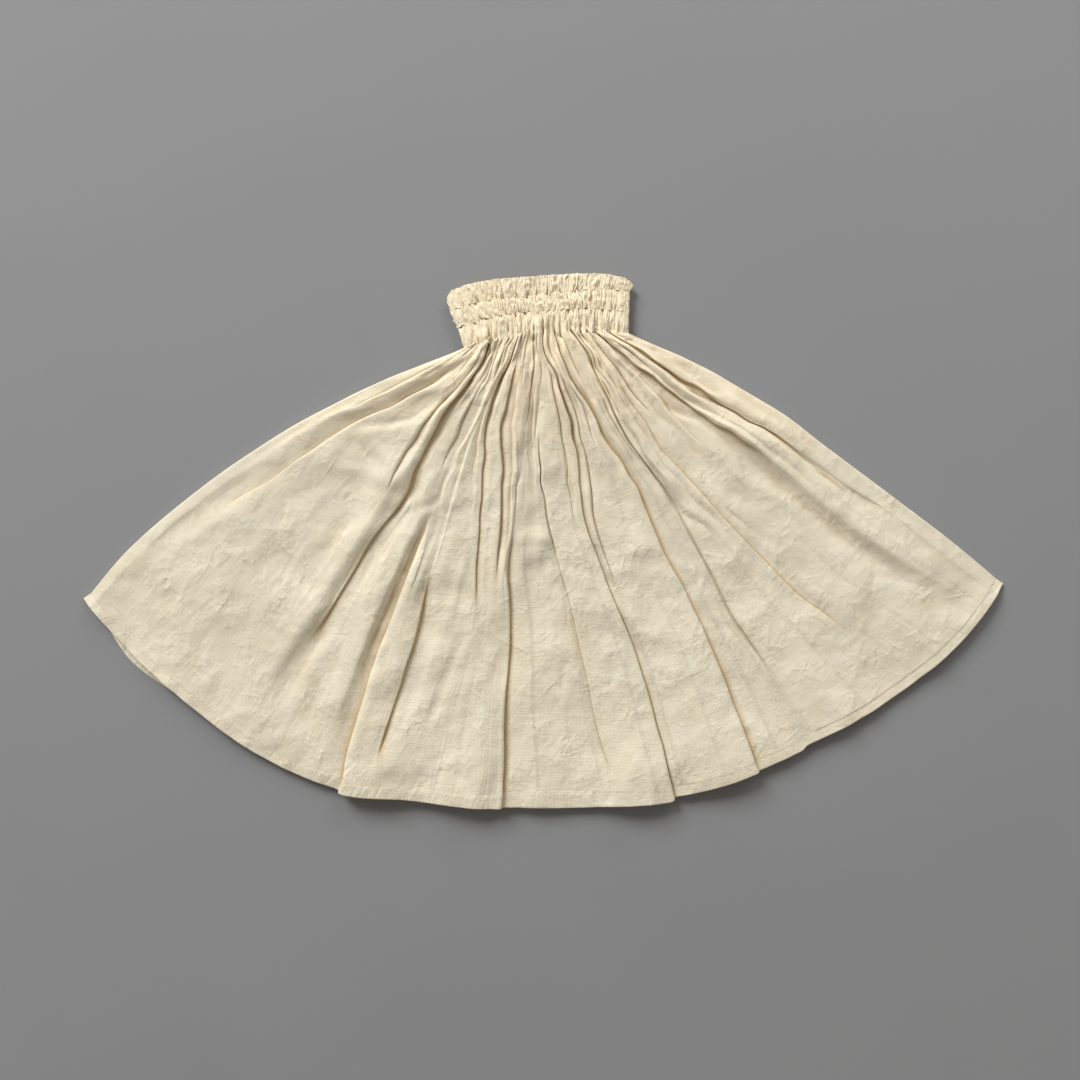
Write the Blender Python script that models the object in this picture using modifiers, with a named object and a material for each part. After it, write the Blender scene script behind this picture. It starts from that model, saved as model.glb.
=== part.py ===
"""A gathered cotton skirt with a three-row elastic waist, laid flat and fanned out on a floor.

The skirt is a tube of cloth gathered into a shirred band. Lying flat it opens like a fan: +X runs
across it, +Y up towards the band and +Z away from the floor. Its back lies on the floor at z = 0 and
its front lies on the back. Both are lofted through sections that run from side fold to side fold,
and each section is worked out from the folds it crosses.
"""

import math
from typing import NamedTuple

import bpy
import numpy as np

MM = 0.001

# cloth, in mm
WALL = 1.2             # one thickness of cloth, as a wall
HEM_WALL = 2.4         # a turned-up hem, cloth upon cloth
BAND_WALL = 2.6        # a casing: cloth, elastic and cloth
SEAM_GAP = 0.3         # what lies between two pieces at a seam
SIDE_GAP = 0.6         # the same along the side folds, which curve between sections
HEM_GAP = 0.5          # the same where a hem begins, whose wall is thicker
CASING_GAP = 1.0       # the same between two casings, whose puffed tops lean together
PLY = 1.9              # from one cloth's middle to the next, inside a fold of the front
BACK_PLY = 1.6         # the same in the back, which the front presses flat
BACK_SLOPE = 20.0      # width over which the back's cloth comes down from a fold to the floor
HEM_PLY = 3.1          # the same where the thick hem spreads the fold
HEM_SPREAD = 0.12      # share of the length over which it does
HEM_DEPTH = 20.0       # width of the turned-up hem

# the fan, in mm and in degrees from straight down, positive to the right
FAN_CENTRE = (2.2, 401.3)
JOIN_RADIUS = 105.0    # from the fan's centre to the join under the band
JOIN_TILT = 0.097      # the join drops a little to the left
JOIN_BOW = 12.0        # and bows up in its middle
JOIN_BOW_ANGLE = 50.0
BAND_MIDDLE = 10.6     # height at which the flattened band folds over at its two ends
BAND_RISE = 8.2        # how far front and back stand off from there
RING_POWER = 3.0
FLOOR_LEVEL = WALL / 2
FRONT_REST = 5.3       # middle of the front's cloth where it lies lowest on the back
PLAIN_RISE = 3.4       # height of unfolded cloth above that, near the hem
GATHERED_RISE = 6.5    # and just below the band
GATHERS_REACH = 0.3    # share of the length over which the one becomes the other
TUBE_REACH = 0.13      # share of the length over which the band's height dies out
STITCHED_RISE = 0.10   # share of the folds' height that the stitching leaves at the join
PUFF_REACH = 0.05      # share of the length in which the cloth puffs out below it
CROWN_AT_BAND = 5.2    # bulge of the cloth between two folds
CROWN_AT_HEM = 2.2
CROWN_REACH = 0.5
CROWN_PER_WIDTH = 0.22  # no more than this share of the distance between them
SIDE_CROWN = 2.0
ROLL_ROOM = 8.0        # width the rounded side fold needs, in its own radii
ROLL_SHAPE = ((0.35, 0.3), (0.0, 1.0), (0.9, 2.0))  # its points: inwards and up, in its radii

LEFT_ON_TOP, RIGHT_ON_TOP, VALLEY = 1, -1, 0


class Edge(NamedTuple):
    """Where the two side folds run, at one share of the length from the join to the hem."""

    share: float
    left: float
    right: float
    roll: float        # radius of the rounded side fold, mm
    turn_in: float     # how far the front's cloth turns in under itself there, mm


EDGES = (
    Edge(0.00, -45.7, 52.8, 0.9, 0.6),
    Edge(0.05, -51.9, 55.6, 2.2, 3.5),
    Edge(0.11, -55.5, 57.9, 3.2, 6.0),
    Edge(0.20, -57.5, 59.1, 3.6, 7.0),
    Edge(0.35, -58.5, 59.2, 3.6, 7.0),
    Edge(0.50, -58.3, 58.1, 3.3, 7.0),
    Edge(0.70, -57.4, 57.1, 2.8, 6.5),
    Edge(0.86, -56.3, 56.5, 2.3, 6.0),
    Edge(1.00, -54.7, 55.8, 1.9, 5.0),
)


class Reach(NamedTuple):
    """How far the hem lies from the fan's centre, at one angle."""

    angle: float
    front: float
    back: float


HEM_REACH = (
    Reach(-57.0, 849.0, 847.0),
    Reach(-52.0, 843.0, 843.0),
    Reach(-47.0, 841.0, 851.0),
    Reach(-40.0, 836.5, 838.0),
    Reach(-30.0, 838.5, 833.0),
    Reach(-22.0, 834.5, 829.0),
    Reach(-15.0, 815.0, 809.0),
    Reach(-8.0, 806.0, 800.0),
    Reach(0.0, 800.5, 795.0),
    Reach(8.0, 804.0, 798.0),
    Reach(16.0, 811.5, 805.0),
    Reach(28.0, 810.0, 805.0),
    Reach(38.0, 820.0, 815.0),
    Reach(50.0, 831.0, 828.0),
    Reach(57.0, 829.0, 828.0),
)


class Fold(NamedTuple):
    """One fold that runs down the skirt: the angle it keeps on its way, and its sizes in mm."""

    name: str
    side: int          # which side's cloth lies on top
    join: float        # its angle at the join, then at 0.1, 0.3, 0.6 and all of the length
    tenth: float
    third: float
    middle: float
    hem: float
    starts: float      # shares of the length between which it is there
    ends: float
    tuck: float        # how far the cloth runs back underneath
    lift: float        # how high the upper edge stands above the lower cloth, if not pressed flat


FOLD_SHARES = (0.0, 0.1, 0.3, 0.6, 1.0)
FOLD_FADE = 0.10       # share of the length over which a fold opens or dies out
TUCK_SHARE = 0.55      # a tuck takes no more than this of the cloth above it
OPEN_WIDTH = 16.0      # width that a fold's points keep where it has died out
OPEN_SHARE = 0.4       # and the share of a narrower space that they take
VALLEY_WIDTH = 14.0    # the same for a valley
VALLEY_SHARE = 0.45
VALLEY_SLOPE = 0.25    # how steeply a valley's sides rise

FRONT_FOLDS = (
    Fold("left_flap", RIGHT_ON_TOP, -42.6, -45.5, -51.0, -53.0, -51.5, 0.04, 0.64, 13.0, 7.0),
    Fold("left_deep_valley", LEFT_ON_TOP, -37.6, -34.6, -33.8, -32.8, -32.6, -0.20, 0.96, 26.0, 11.0),
    Fold("left_low_lap", RIGHT_ON_TOP, -31.0, -28.4, -26.2, -24.3, -21.7, 0.40, 1.30, 24.0, 8.0),
    Fold("left_under_roll", LEFT_ON_TOP, -26.0, -24.6, -22.6, -20.4, -18.2, 0.50, 0.96, 18.0, 7.0),
    Fold("hip_crease", LEFT_ON_TOP, -22.0, -21.0, -17.2, -12.2, -12.6, -0.20, 0.62, 15.0, 7.0),
    Fold("gap_left_lip", LEFT_ON_TOP, -17.6, -16.0, -11.6, -8.6, -7.0, -0.20, 0.58, 16.0, 8.0),
    Fold("main_gap", LEFT_ON_TOP, -13.0, -11.9, -8.8, -6.4, -4.6, -0.20, 1.30, 26.0, 10.0),
    Fold("centre_right_lap", RIGHT_ON_TOP, -3.0, 0.8, -0.2, 4.5, 7.6, 0.16, 0.97, 22.0, 7.0),
    Fold("long_lap", LEFT_ON_TOP, 3.6, 6.4, 9.8, 12.2, 13.9, -0.20, 1.30, 24.0, 8.0),
    Fold("ridge_lap", LEFT_ON_TOP, 11.0, 13.4, 21.4, 23.7, 23.1, -0.20, 1.30, 20.0, 7.0),
    Fold("right_hip_lap", RIGHT_ON_TOP, 23.0, 26.2, 27.4, 29.1, 29.6, -0.20, 0.84, 22.0, 8.0),
    Fold("right_long_crease", LEFT_ON_TOP, 32.0, 33.4, 33.2, 36.7, 41.0, -0.20, 0.84, 20.0, 7.0),
    Fold("right_deep_valley", RIGHT_ON_TOP, 40.0, 43.4, 48.4, 49.8, 51.0, -0.20, 0.92, 26.0, 11.0),
    Fold("right_shoulder", VALLEY, 46.6, 51.0, 54.2, 54.4, 54.2, -0.20, 0.78, 0.0, 0.0),
)

BACK_FOLDS = (
    Fold("back_left_lap", LEFT_ON_TOP, -32.0, -40.0, -43.0, -44.0, -43.5, -0.20, 0.93, 22.0, 0.0),
    Fold("back_left_middle", LEFT_ON_TOP, -15.0, -16.0, -19.0, -21.0, -22.0, -0.20, 0.93, 24.0, 0.0),
    Fold("back_middle", RIGHT_ON_TOP, -2.0, -1.0, 0.5, 1.5, 0.0, -0.20, 0.93, 20.0, 0.0),
    Fold("back_right_middle", LEFT_ON_TOP, 14.0, 16.5, 20.5, 22.0, 23.5, -0.20, 0.93, 24.0, 0.0),
    Fold("back_right_lap", LEFT_ON_TOP, 34.0, 40.0, 44.0, 45.0, 46.0, -0.20, 0.93, 22.0, 0.0),
)

PANEL_ROWS = (0.0, 0.02, 0.06, 0.13, 0.25, 0.42, 0.62, 0.82, 1.0)


class BandLine(NamedTuple):
    """A row of stitching, or the top edge of the band, in mm: its two ends, its bow and its height."""

    name: str
    left: tuple
    right: tuple
    bow: float
    rise: float        # how far front and back stand off from the fold-over at this line


BAND_LINES = (
    BandLine("top", (-145.0, 367.5), (132.0, 388.5), 20.0, 6.4),
    BandLine("stitch_1", (-138.5, 343.0), (128.5, 374.0), 12.5, 7.0),
    BandLine("stitch_2", (-127.0, 319.5), (127.5, 341.0), 10.5, 7.0),
)
CASINGS = ("top", "middle", "bottom")
CASING_PUFF = 3.2      # how far a casing bulges between its rows of stitching
GATHER_DEPTH = 1.3     # depth of the band's gathers at the middle of a casing
STITCHED_DEPTH = 0.4   # the share of it that is left at the stitching
BAND_END = 0.06        # share of the width over which the gathers die out at either end
FRONT_GATHERS = 16
BACK_GATHERS = 10

CLOTH = {"cream_cotton": ((0.80, 0.72, 0.58, 1.0), 0.92)}


def smooth(x):
    """Return 0 below 0, 1 above 1 and an even S between them."""
    x = np.clip(x, 0.0, 1.0)
    return x * x * (3 - 2 * x)


def curve_through(places, values, at):
    """Return the value at one place of a soft curve through the given values, which never overshoots."""
    steps = np.diff(values) / np.diff(places)
    slopes = np.zeros(len(values))
    slopes[0], slopes[-1] = steps[0], steps[-1]
    for i in range(1, len(values) - 1):
        before, after = steps[i - 1], steps[i]
        slopes[i] = 0.0 if before * after <= 0 else 2 * before * after / (before + after)
    i = int(np.clip(np.searchsorted(places, at) - 1, 0, len(steps) - 1))
    width = places[i + 1] - places[i]
    u = (at - places[i]) / width
    return (
        values[i] * (1 + 2 * u) * (1 - u) ** 2
        + values[i + 1] * u * u * (3 - 2 * u)
        + width * slopes[i] * u * (1 - u) ** 2
        + width * slopes[i + 1] * u * u * (u - 1)
    )


def edge_value(column, share):
    """Return one column of the side folds' table at a share of the length."""
    places = [edge.share for edge in EDGES]
    return curve_through(places, [getattr(edge, column) for edge in EDGES], share)


def hem_radius(angle, column="front"):
    """Return how far the hem lies from the fan's centre at an angle."""
    places = [reach.angle for reach in HEM_REACH]
    return curve_through(places, [getattr(reach, column) for reach in HEM_REACH], angle)


def join_radius(angle):
    """Return how far the join lies from the fan's centre at an angle."""
    a = math.radians(angle)
    bow = JOIN_BOW * (1 - (angle / JOIN_BOW_ANGLE) ** 2)
    return JOIN_RADIUS / (math.cos(a) + JOIN_TILT * math.sin(a)) - bow


def radius_at(angle, share, column="front"):
    """Return the distance from the fan's centre at an angle and a share of the length."""
    near = join_radius(angle)
    return near + share * (hem_radius(angle, column) - near)


def place(angle, radius, height):
    """Return the point, in metres, at an angle and a radius of the fan and a height, in mm."""
    a = math.radians(angle)
    x = FAN_CENTRE[0] + radius * math.sin(a)
    y = FAN_CENTRE[1] - radius * math.cos(a)
    return (x * MM, y * MM, height * MM)


def fold_angle(fold, share):
    """Return the angle a fold has reached at a share of the length."""
    values = (fold.join, fold.tenth, fold.third, fold.middle, fold.hem)
    return curve_through(FOLD_SHARES, values, share)


def fold_strength(fold, share):
    """Return how fully a fold is formed: 0 where it isn't there, 1 where it is whole."""
    opens = smooth((share - fold.starts) / FOLD_FADE)
    closes = smooth((fold.ends - share) / FOLD_FADE)
    return float(opens * closes)


def ply_at(share):
    """Return how far apart the cloths of a fold lie, at a share of the length."""
    return PLY + (HEM_PLY - PLY) * float(smooth((share - 1 + HEM_SPREAD) / HEM_SPREAD))


def ring(across):
    """Return the rounded outline of the flattened band: 0 at its two ends, 1 over its middle."""
    return (1 - abs(2 * across - 1) ** RING_POWER) ** (1 / RING_POWER)


def fold_points(fold, strength, room, plain, ply):
    """Return a fold's points from left to right.

    room is the width, in mm, that the fold may take on its left and on its right, plain is the
    height of the cloth where no fold lifts it, and ply is how far apart the fold's cloths lie. A
    point is its offset from the fold's edge and its height above the lowest cloth. A lap goes out
    to its edge, back underneath, and out again.
    """
    if fold.side == VALLEY:
        reach = VALLEY_SHARE * min(min(room), VALLEY_WIDTH)
        level = plain * (1 - strength)
        return [
            (reach * step, level + VALLEY_SLOPE * plain * strength * abs(step))
            for step in (-1.0, -0.5, 0.0, 0.5, 1.0)
        ]
    above = room[0] if fold.side == LEFT_ON_TOP else room[1]
    tuck = min(fold.tuck, TUCK_SHARE * above) * smooth(strength)
    high = max(fold.lift, 2 * ply) * strength
    low_level = plain * (1 - strength)
    middle = min(ply, 0.5 * high)
    round_edge = min(0.5 * (high - middle) + SEAM_GAP, 0.3 * above)
    inner = 0.5 * ply * strength
    folded = (
        (-round_edge, high),
        (0.0, 0.5 * (high + middle)),
        (-round_edge, middle),
        (-tuck, middle),
        (-tuck - inner, 0.5 * middle),
        (-tuck, 0.0),
        (round_edge, 0.0),
    )
    spread = OPEN_SHARE * min(min(room), OPEN_WIDTH)
    last = len(folded) - 1
    points = []
    for i, (offset, height) in enumerate(folded):
        flat_offset = spread * (2 * i / last - 1)
        eased = height + (high * (1 - i / last) - height) * (1 - strength)
        points.append((flat_offset + (offset - flat_offset) * strength, low_level + eased))
    if fold.side == RIGHT_ON_TOP:
        points = [(-offset, height) for offset, height in reversed(points)]
    return points


def strip_points(left, right, crown):
    """Return two points that carry the cloth from one fold to the next.

    left and right are (angle, height) at the strip's ends, and crown is how far its middle bulges.
    """
    points = []
    for w in (1 / 3, 2 / 3):
        height = left[1] + (right[1] - left[1]) * smooth(w) + crown
        points.append((left[0] + (right[0] - left[0]) * w, height))
    return points


def front_base(across, share):
    """Return the height of the front's lowest cloth, which comes down from the band on to the back."""
    at_join = BAND_MIDDLE + BAND_RISE * ring(across)
    return FRONT_REST + (at_join - FRONT_REST) * (1 - smooth(share / TUBE_REACH))


def back_base(across, share):
    """Return the height of the back's lowest cloth, which comes down from the band to the floor."""
    at_join = BAND_MIDDLE - BAND_RISE * ring(across)
    return FLOOR_LEVEL + (at_join - FLOOR_LEVEL) * (1 - smooth(share / TUBE_REACH))


def seam_level(share):
    """Return the height at which the front meets the back along the side folds."""
    return FLOOR_LEVEL + (BAND_MIDDLE - FLOOR_LEVEL) * (1 - smooth(share / TUBE_REACH))


def front_section(share):
    """Return the front's cross-section, from side fold to side fold, as (angle, height) points."""
    left, right = edge_value("left", share), edge_value("right", share)
    roll, turn_in = edge_value("roll", share), edge_value("turn_in", share)
    level = seam_level(share)
    puff = STITCHED_RISE + (1 - STITCHED_RISE) * smooth(share / PUFF_REACH)
    plain = GATHERED_RISE + (PLAIN_RISE - GATHERED_RISE) * smooth(share / GATHERS_REACH)
    bulge = CROWN_AT_BAND + (CROWN_AT_HEM - CROWN_AT_BAND) * smooth(share / CROWN_REACH)

    def degrees(offset, angle):
        return math.degrees(offset / radius_at(angle, share))

    def base(angle):
        return front_base(np.clip((angle - left) / (right - left), 0, 1), share)

    angles = [fold_angle(fold, share) for fold in FRONT_FOLDS]
    bounds = [left, *angles, right]
    inwards_and_up = [(turn_in, 0.0), *((roll * a, roll * b) for a, b in ROLL_SHAPE)]
    section = [(left + degrees(a, left), level + b) for a, b in inwards_and_up]
    closing = [(right - degrees(a, right), level + b) for a, b in reversed(inwards_and_up)]
    for i, fold in enumerate(FRONT_FOLDS):
        radius = radius_at(angles[i], share)
        room = [math.radians(bounds[i + n + 1] - bounds[i + n]) * radius for n in (0, 1)]
        room[0] -= ROLL_ROOM * roll if i == 0 else 0
        room[1] -= ROLL_ROOM * roll if i == len(FRONT_FOLDS) - 1 else 0
        strength = fold_strength(fold, share)
        points = [
            (angles[i] + degrees(offset, angles[i]), base(angles[i]) + height * puff)
            for offset, height in fold_points(fold, strength, room, plain, ply_at(share))
        ]
        width = math.radians(points[0][0] - section[-1][0]) * radius
        crown = min(bulge, CROWN_PER_WIDTH * width) * puff
        section += strip_points(section[-1], points[0], crown)
        section += points
    return section + strip_points(section[-1], closing[0], SIDE_CROWN * puff) + closing


def back_section(share):
    """Return the back's cross-section, which lies flat on the floor between folds that stand inwards."""
    left = edge_value("left", share)
    right = edge_value("right", share)
    gap = edge_value("turn_in", share) + SIDE_GAP

    def degrees(offset, angle):
        return math.degrees(offset / radius_at(angle, share, "back"))

    def base(angle):
        return back_base(np.clip((angle - left) / (right - left), 0, 1), share)

    settled = smooth(share / TUBE_REACH)
    angles = [fold_angle(fold, share) for fold in BACK_FOLDS]
    bounds = [left, *angles, right]
    section = [(left + degrees(gap, left), seam_level(share))]
    for i, fold in enumerate(BACK_FOLDS):
        radius = radius_at(angles[i], share, "back")
        room = [math.radians(bounds[i + n + 1] - bounds[i + n]) * radius for n in (0, 1)]
        strength = fold_strength(fold, share) * float(settled)
        low, high = base(angles[i]), 2 * BACK_PLY * strength
        points = [
            (angles[i] + degrees(offset, angles[i]), low + high - height)
            for offset, height in fold_points(fold, strength, room, 0.0, BACK_PLY)
        ]
        width = math.radians(points[0][0] - section[-1][0]) * radius
        section += back_strip(section[-1], points[0], base, width)
        section += points
    closing = (right - degrees(gap, right), seam_level(share))
    width = math.radians(closing[0] - section[-1][0]) * radius_at(right, share, "back")
    section += back_strip(section[-1], closing, base, width)
    return section + [closing]


def back_strip(start, end, base, width):
    """Return two points between the back's folds, lying on the floor where the strip is wide enough."""
    inset = min(1 / 3, BACK_SLOPE / width)
    points = []
    for w in (inset, 1 - inset):
        angle = start[0] + (end[0] - start[0]) * w
        points.append((angle, base(angle)))
    return points


def join_share(angle):
    """Return how far across the join a fan angle lies, from 0 at its left end to 1 at its right."""
    first, last = EDGES[0].left, EDGES[0].right
    ends = [join_radius(a) * math.sin(math.radians(a)) for a in (first, last)]
    x = join_radius(angle) * math.sin(math.radians(angle))
    return (x - ends[0]) / (ends[1] - ends[0])


def join_line(across):
    """Return the point of the join, in mm, at a share of its width."""
    angles = np.linspace(EDGES[0].left, EDGES[0].right, 60)
    angle = float(np.interp(across, [join_share(a) for a in angles], angles))
    radius = join_radius(angle)
    a = math.radians(angle)
    return FAN_CENTRE[0] + radius * math.sin(a), FAN_CENTRE[1] - radius * math.cos(a)


def band_line(line, across):
    """Return the point of a row of stitching, in mm, at a share of the band's width."""
    x = line.left[0] + (line.right[0] - line.left[0]) * across
    y = line.left[1] + (line.right[1] - line.left[1]) * across + line.bow * 4 * across * (1 - across)
    return x, y


def cloth_material(name):
    """Return the material of the given name, made the first time it is asked for."""
    material = bpy.data.materials.get(name)
    if material:
        return material
    colour, roughness = CLOTH[name]
    material = bpy.data.materials.new(name)
    material.use_nodes = True
    shader = material.node_tree.nodes["Principled BSDF"]
    shader.inputs["Base Color"].default_value = colour
    shader.inputs["Roughness"].default_value = roughness
    shader.inputs["Metallic"].default_value = 0.0
    material.diffuse_color = colour
    return material


def loft(name, rows, wall, collection):
    """Make an open surface through rows of points and give it a wall of the given thickness, in mm."""
    count = len(rows[0])
    points = [point for row in rows for point in row]
    faces = []
    for r in range(len(rows) - 1):
        for c in range(count - 1):
            corner = r * count + c
            faces.append((corner, corner + count, corner + count + 1, corner + 1))
    mesh = bpy.data.meshes.new(name)
    mesh.from_pydata(points, [], faces)
    mesh.validate()
    mesh.materials.append(cloth_material("cream_cotton"))
    piece = bpy.data.objects.new(name, mesh)
    collection.objects.link(piece)
    shell = piece.modifiers.new("wall", "SOLIDIFY")
    shell.thickness = wall * MM
    shell.offset = 0.0
    return piece


def panel_rows(section_at, shares, column):
    """Return the rows of points of a panel, at shares of the way from the join to its hem's stitching."""
    rows = []
    for share in shares:
        row = []
        for angle, height in section_at(share):
            near = join_radius(angle) + SEAM_GAP
            far = hem_radius(angle, column) - HEM_DEPTH - HEM_GAP
            row.append(place(angle, near + (far - near) * share, height))
        rows.append(row)
    return rows


def hem_rows(section_at, column):
    """Return the rows of points of a hem, from its stitching to its folded edge."""
    rows = []
    for depth in (HEM_DEPTH, 0.0):
        row = []
        for angle, height in section_at(1.0):
            middle = max(HEM_WALL / 2, height + (HEM_WALL - WALL) / 2)
            row.append(place(angle, hem_radius(angle, column) - depth, middle))
        rows.append(row)
    return rows


def casing_rows(index, front):
    """Return the rows of points of one half of a casing, from its upper stitching to its lower.

    The band is a flattened ring: its front half stands up from the fold-over at either end, and its
    back half hangs down from it. Between two rows of stitching the cloth puffs out in gathers.
    """
    gathers = FRONT_GATHERS if front else BACK_GATHERS
    sign = 1 if front else -1
    upper = BAND_LINES[index]
    lower = BAND_LINES[index + 1] if index + 1 < len(BAND_LINES) else None
    rise_below = lower.rise if lower else BAND_RISE
    rows = []
    for down in (0.0, 0.5, 1.0):
        puff = CASING_PUFF * math.sin(math.pi * down) if front else 0.0
        row = []
        for step in range(2 * gathers + 1):
            across = step / (2 * gathers)
            x0, y0 = band_line(upper, across)
            x1, y1 = band_line(lower, across) if lower else join_line(across)
            length = math.hypot(x1 - x0, y1 - y0)
            keep = (CASING_GAP / 2 + (length - CASING_GAP) * down) / length
            rise = upper.rise + (rise_below - upper.rise) * down
            fullness = STITCHED_DEPTH + (1 - STITCHED_DEPTH) * math.sin(math.pi * down)
            gather = GATHER_DEPTH * fullness * (1 if step % 2 else -1)
            gather *= smooth(min(across, 1 - across) / BAND_END)
            height = BAND_MIDDLE + sign * ((rise + puff) * ring(across) + gather)
            height = max(height, BAND_WALL / 2)
            if step in (0, 2 * gathers):
                height += sign * (BAND_WALL / 2 + SEAM_GAP / 2)
            row.append(((x0 + (x1 - x0) * keep) * MM, (y0 + (y1 - y0) * keep) * MM, height * MM))
        rows.append(row)
    return rows


def clear_scene():
    """Remove whatever the scene holds."""
    for item in list(bpy.data.objects):
        bpy.data.objects.remove(item, do_unlink=True)


def build():
    """Build the skirt's pieces in a collection of their own."""
    clear_scene()
    skirt = bpy.data.collections.new("gathered_skirt")
    bpy.context.scene.collection.children.link(skirt)
    loft("front_panel", panel_rows(front_section, PANEL_ROWS, "front"), WALL, skirt)
    loft("front_hem", hem_rows(front_section, "front"), HEM_WALL, skirt)
    loft("back_panel", panel_rows(back_section, PANEL_ROWS, "back"), WALL, skirt)
    loft("back_hem", hem_rows(back_section, "back"), HEM_WALL, skirt)
    for index, name in enumerate(CASINGS):
        loft(f"front_casing_{name}", casing_rows(index, True), BAND_WALL, skirt)
        loft(f"back_casing_{name}", casing_rows(index, False), BAND_WALL, skirt)


build()
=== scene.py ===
"""Dresses the gathered cotton skirt: its cloth in folds and gathers, hems, shirred waist, thread and light.

The skirt lies flat and fanned out. +X runs across it, +Y up towards the waist and +Z away from the floor.
Places on it are given in the fan's own terms: an angle in degrees from straight down, positive to the
right, and a share of the way from the join under the waist (0) to the hem (1). Sizes are in millimetres
and meshes in metres.
"""

import logging
import math
from dataclasses import dataclass
from enum import Enum, IntEnum

import bpy
import numpy as np
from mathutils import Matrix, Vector


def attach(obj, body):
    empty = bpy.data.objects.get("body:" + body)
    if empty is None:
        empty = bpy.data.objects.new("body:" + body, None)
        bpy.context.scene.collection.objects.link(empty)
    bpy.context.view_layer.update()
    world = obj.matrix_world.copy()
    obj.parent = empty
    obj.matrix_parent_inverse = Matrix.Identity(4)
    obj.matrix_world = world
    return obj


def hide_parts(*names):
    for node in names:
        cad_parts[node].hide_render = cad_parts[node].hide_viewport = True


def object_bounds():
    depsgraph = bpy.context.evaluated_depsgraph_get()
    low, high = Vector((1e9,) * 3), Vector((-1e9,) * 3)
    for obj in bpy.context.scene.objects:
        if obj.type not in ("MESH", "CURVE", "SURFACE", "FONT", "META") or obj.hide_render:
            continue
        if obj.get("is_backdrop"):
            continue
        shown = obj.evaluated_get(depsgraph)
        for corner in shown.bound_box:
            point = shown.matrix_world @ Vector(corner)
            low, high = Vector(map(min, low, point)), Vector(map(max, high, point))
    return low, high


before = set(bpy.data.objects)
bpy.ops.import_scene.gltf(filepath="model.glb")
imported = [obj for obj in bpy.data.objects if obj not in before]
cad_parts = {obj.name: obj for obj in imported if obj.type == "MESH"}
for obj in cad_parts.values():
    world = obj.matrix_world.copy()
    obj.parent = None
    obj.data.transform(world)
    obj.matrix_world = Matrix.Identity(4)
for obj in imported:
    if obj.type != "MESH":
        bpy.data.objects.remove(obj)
CAD_BOX = [list(corner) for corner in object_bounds()]

MM = 0.001
BODY = "root"
WAVE_REACH = 450.0  # how far to each side of the middle the rows of gathers run, in mm
TABLE_SIZE = 128  # the random tables' size, after which the noise repeats
WAVE_PITCH = 0.31416  # how far apart a wave texture's bands are at a scale of 1
FULL_TURN = 6.283
CASINGS = ("top", "middle", "bottom")
log = logging.getLogger("skirt")

Array = np.ndarray
Number = np.ndarray | float
Socket = bpy.types.NodeSocket
Triple = tuple[float, float, float]
Colour = Triple


class Side(Enum):
    """Which side's cloth lies on top at a fold."""

    LEFT = "left over right"
    RIGHT = "right over left"


class Mark(Enum):
    """The kinds of crease. Sides are those of a stroke that runs down the skirt."""

    CREASE = "sharp valley"
    TROUGH = "soft valley"
    RIDGE = "soft ridge"
    RIGHT_UP = "edge whose right side stands up"
    LEFT_SWELL = "soft swell that falls away quickly on its right"
    RIGHT_SWELL = "soft swell that falls away quickly on its left"


class Seed(IntEnum):
    """Which random table each unevenness of the cloth reads."""

    HEM_PUCKERS = 31
    WANDER = 40
    PUCKERS = 51
    SKIRT_PUCKERS = 53
    PUCKER_FLOW = 55
    PUCKER_FINE_FLOW = 56
    PUCKER_PATCHES = 57
    STITCH_FINE_WOBBLE = 61
    STITCH_WOBBLE = 62
    HOLES = 63
    HOLE_SPREAD = 64
    RAGGED_EDGE = 66
    NEAR_STRAY = 71
    FAR_STRAY = 72
    FINE_STRAY = 73
    LAP_STRAY = 81
    LAP_FINE_STRAY = 82
    CREASE_DEPTH = 83
    LAP_LIFT = 84
    KNOTS = 91
    KNOT_FLOW = 92
    PITS = 93
    HEM_WRINKLES = 97


@dataclass(frozen=True)
class Edge:
    """Where the two side folds run, at one share of the length.

    Attributes: share, the angles left and right, roll (radius of the rounded fold) and turn_in (how far
    the front's cloth turns in under itself).
    """

    share: float
    left: float
    right: float
    roll: float
    turn_in: float


@dataclass(frozen=True)
class Reach:
    """The hem at an angle: how far the front's and the back's lie from the fan's centre, and its depth."""

    angle: float
    front: float
    back: float
    depth: float


@dataclass(frozen=True)
class Lap:
    """One fold that runs down the skirt.

    Attributes: angles at LAP_SHARES, the shares between which it is there, how far its cloth runs back
    underneath (tuck), how high its upper edge stands (lift) and how dark the shade painted into its crevice
    is where it faces the light (lit_shade).
    """

    name: str
    side: Side
    starts: float
    ends: float
    tuck: float
    lift: float
    angles: tuple[float, ...]
    lit_shade: float = 0.5


@dataclass(frozen=True)
class Crease:
    """A narrow fold that runs down between two laps.

    Attributes: the lap on its left ("" for the left side fold), how far across that strip it stands at
    the join and at half length, which side lies on top, where it starts and ends, and how deep it is.
    """

    after: str
    at_join: float
    at_middle: float
    side: Side
    starts: float
    ends: float
    depth: float


@dataclass(frozen=True)
class Stroke:
    """A crease, trough, ridge or edge put in along a path of (angle, share) points."""

    mark: Mark
    depth: float
    width: float
    path: tuple[tuple[float, float], ...]


@dataclass(frozen=True)
class Scallop:
    """A place where the hem stands off the floor: its angle, its half width in degrees and its rise."""

    angle: float
    width: float
    rise: float


@dataclass(frozen=True)
class Gathers:
    """One size of gather, which opens and dies out between four shares of the length."""

    spacing: float
    depth: float
    opens: float
    full: float
    fades: float
    gone: float
    seed: int


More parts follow.
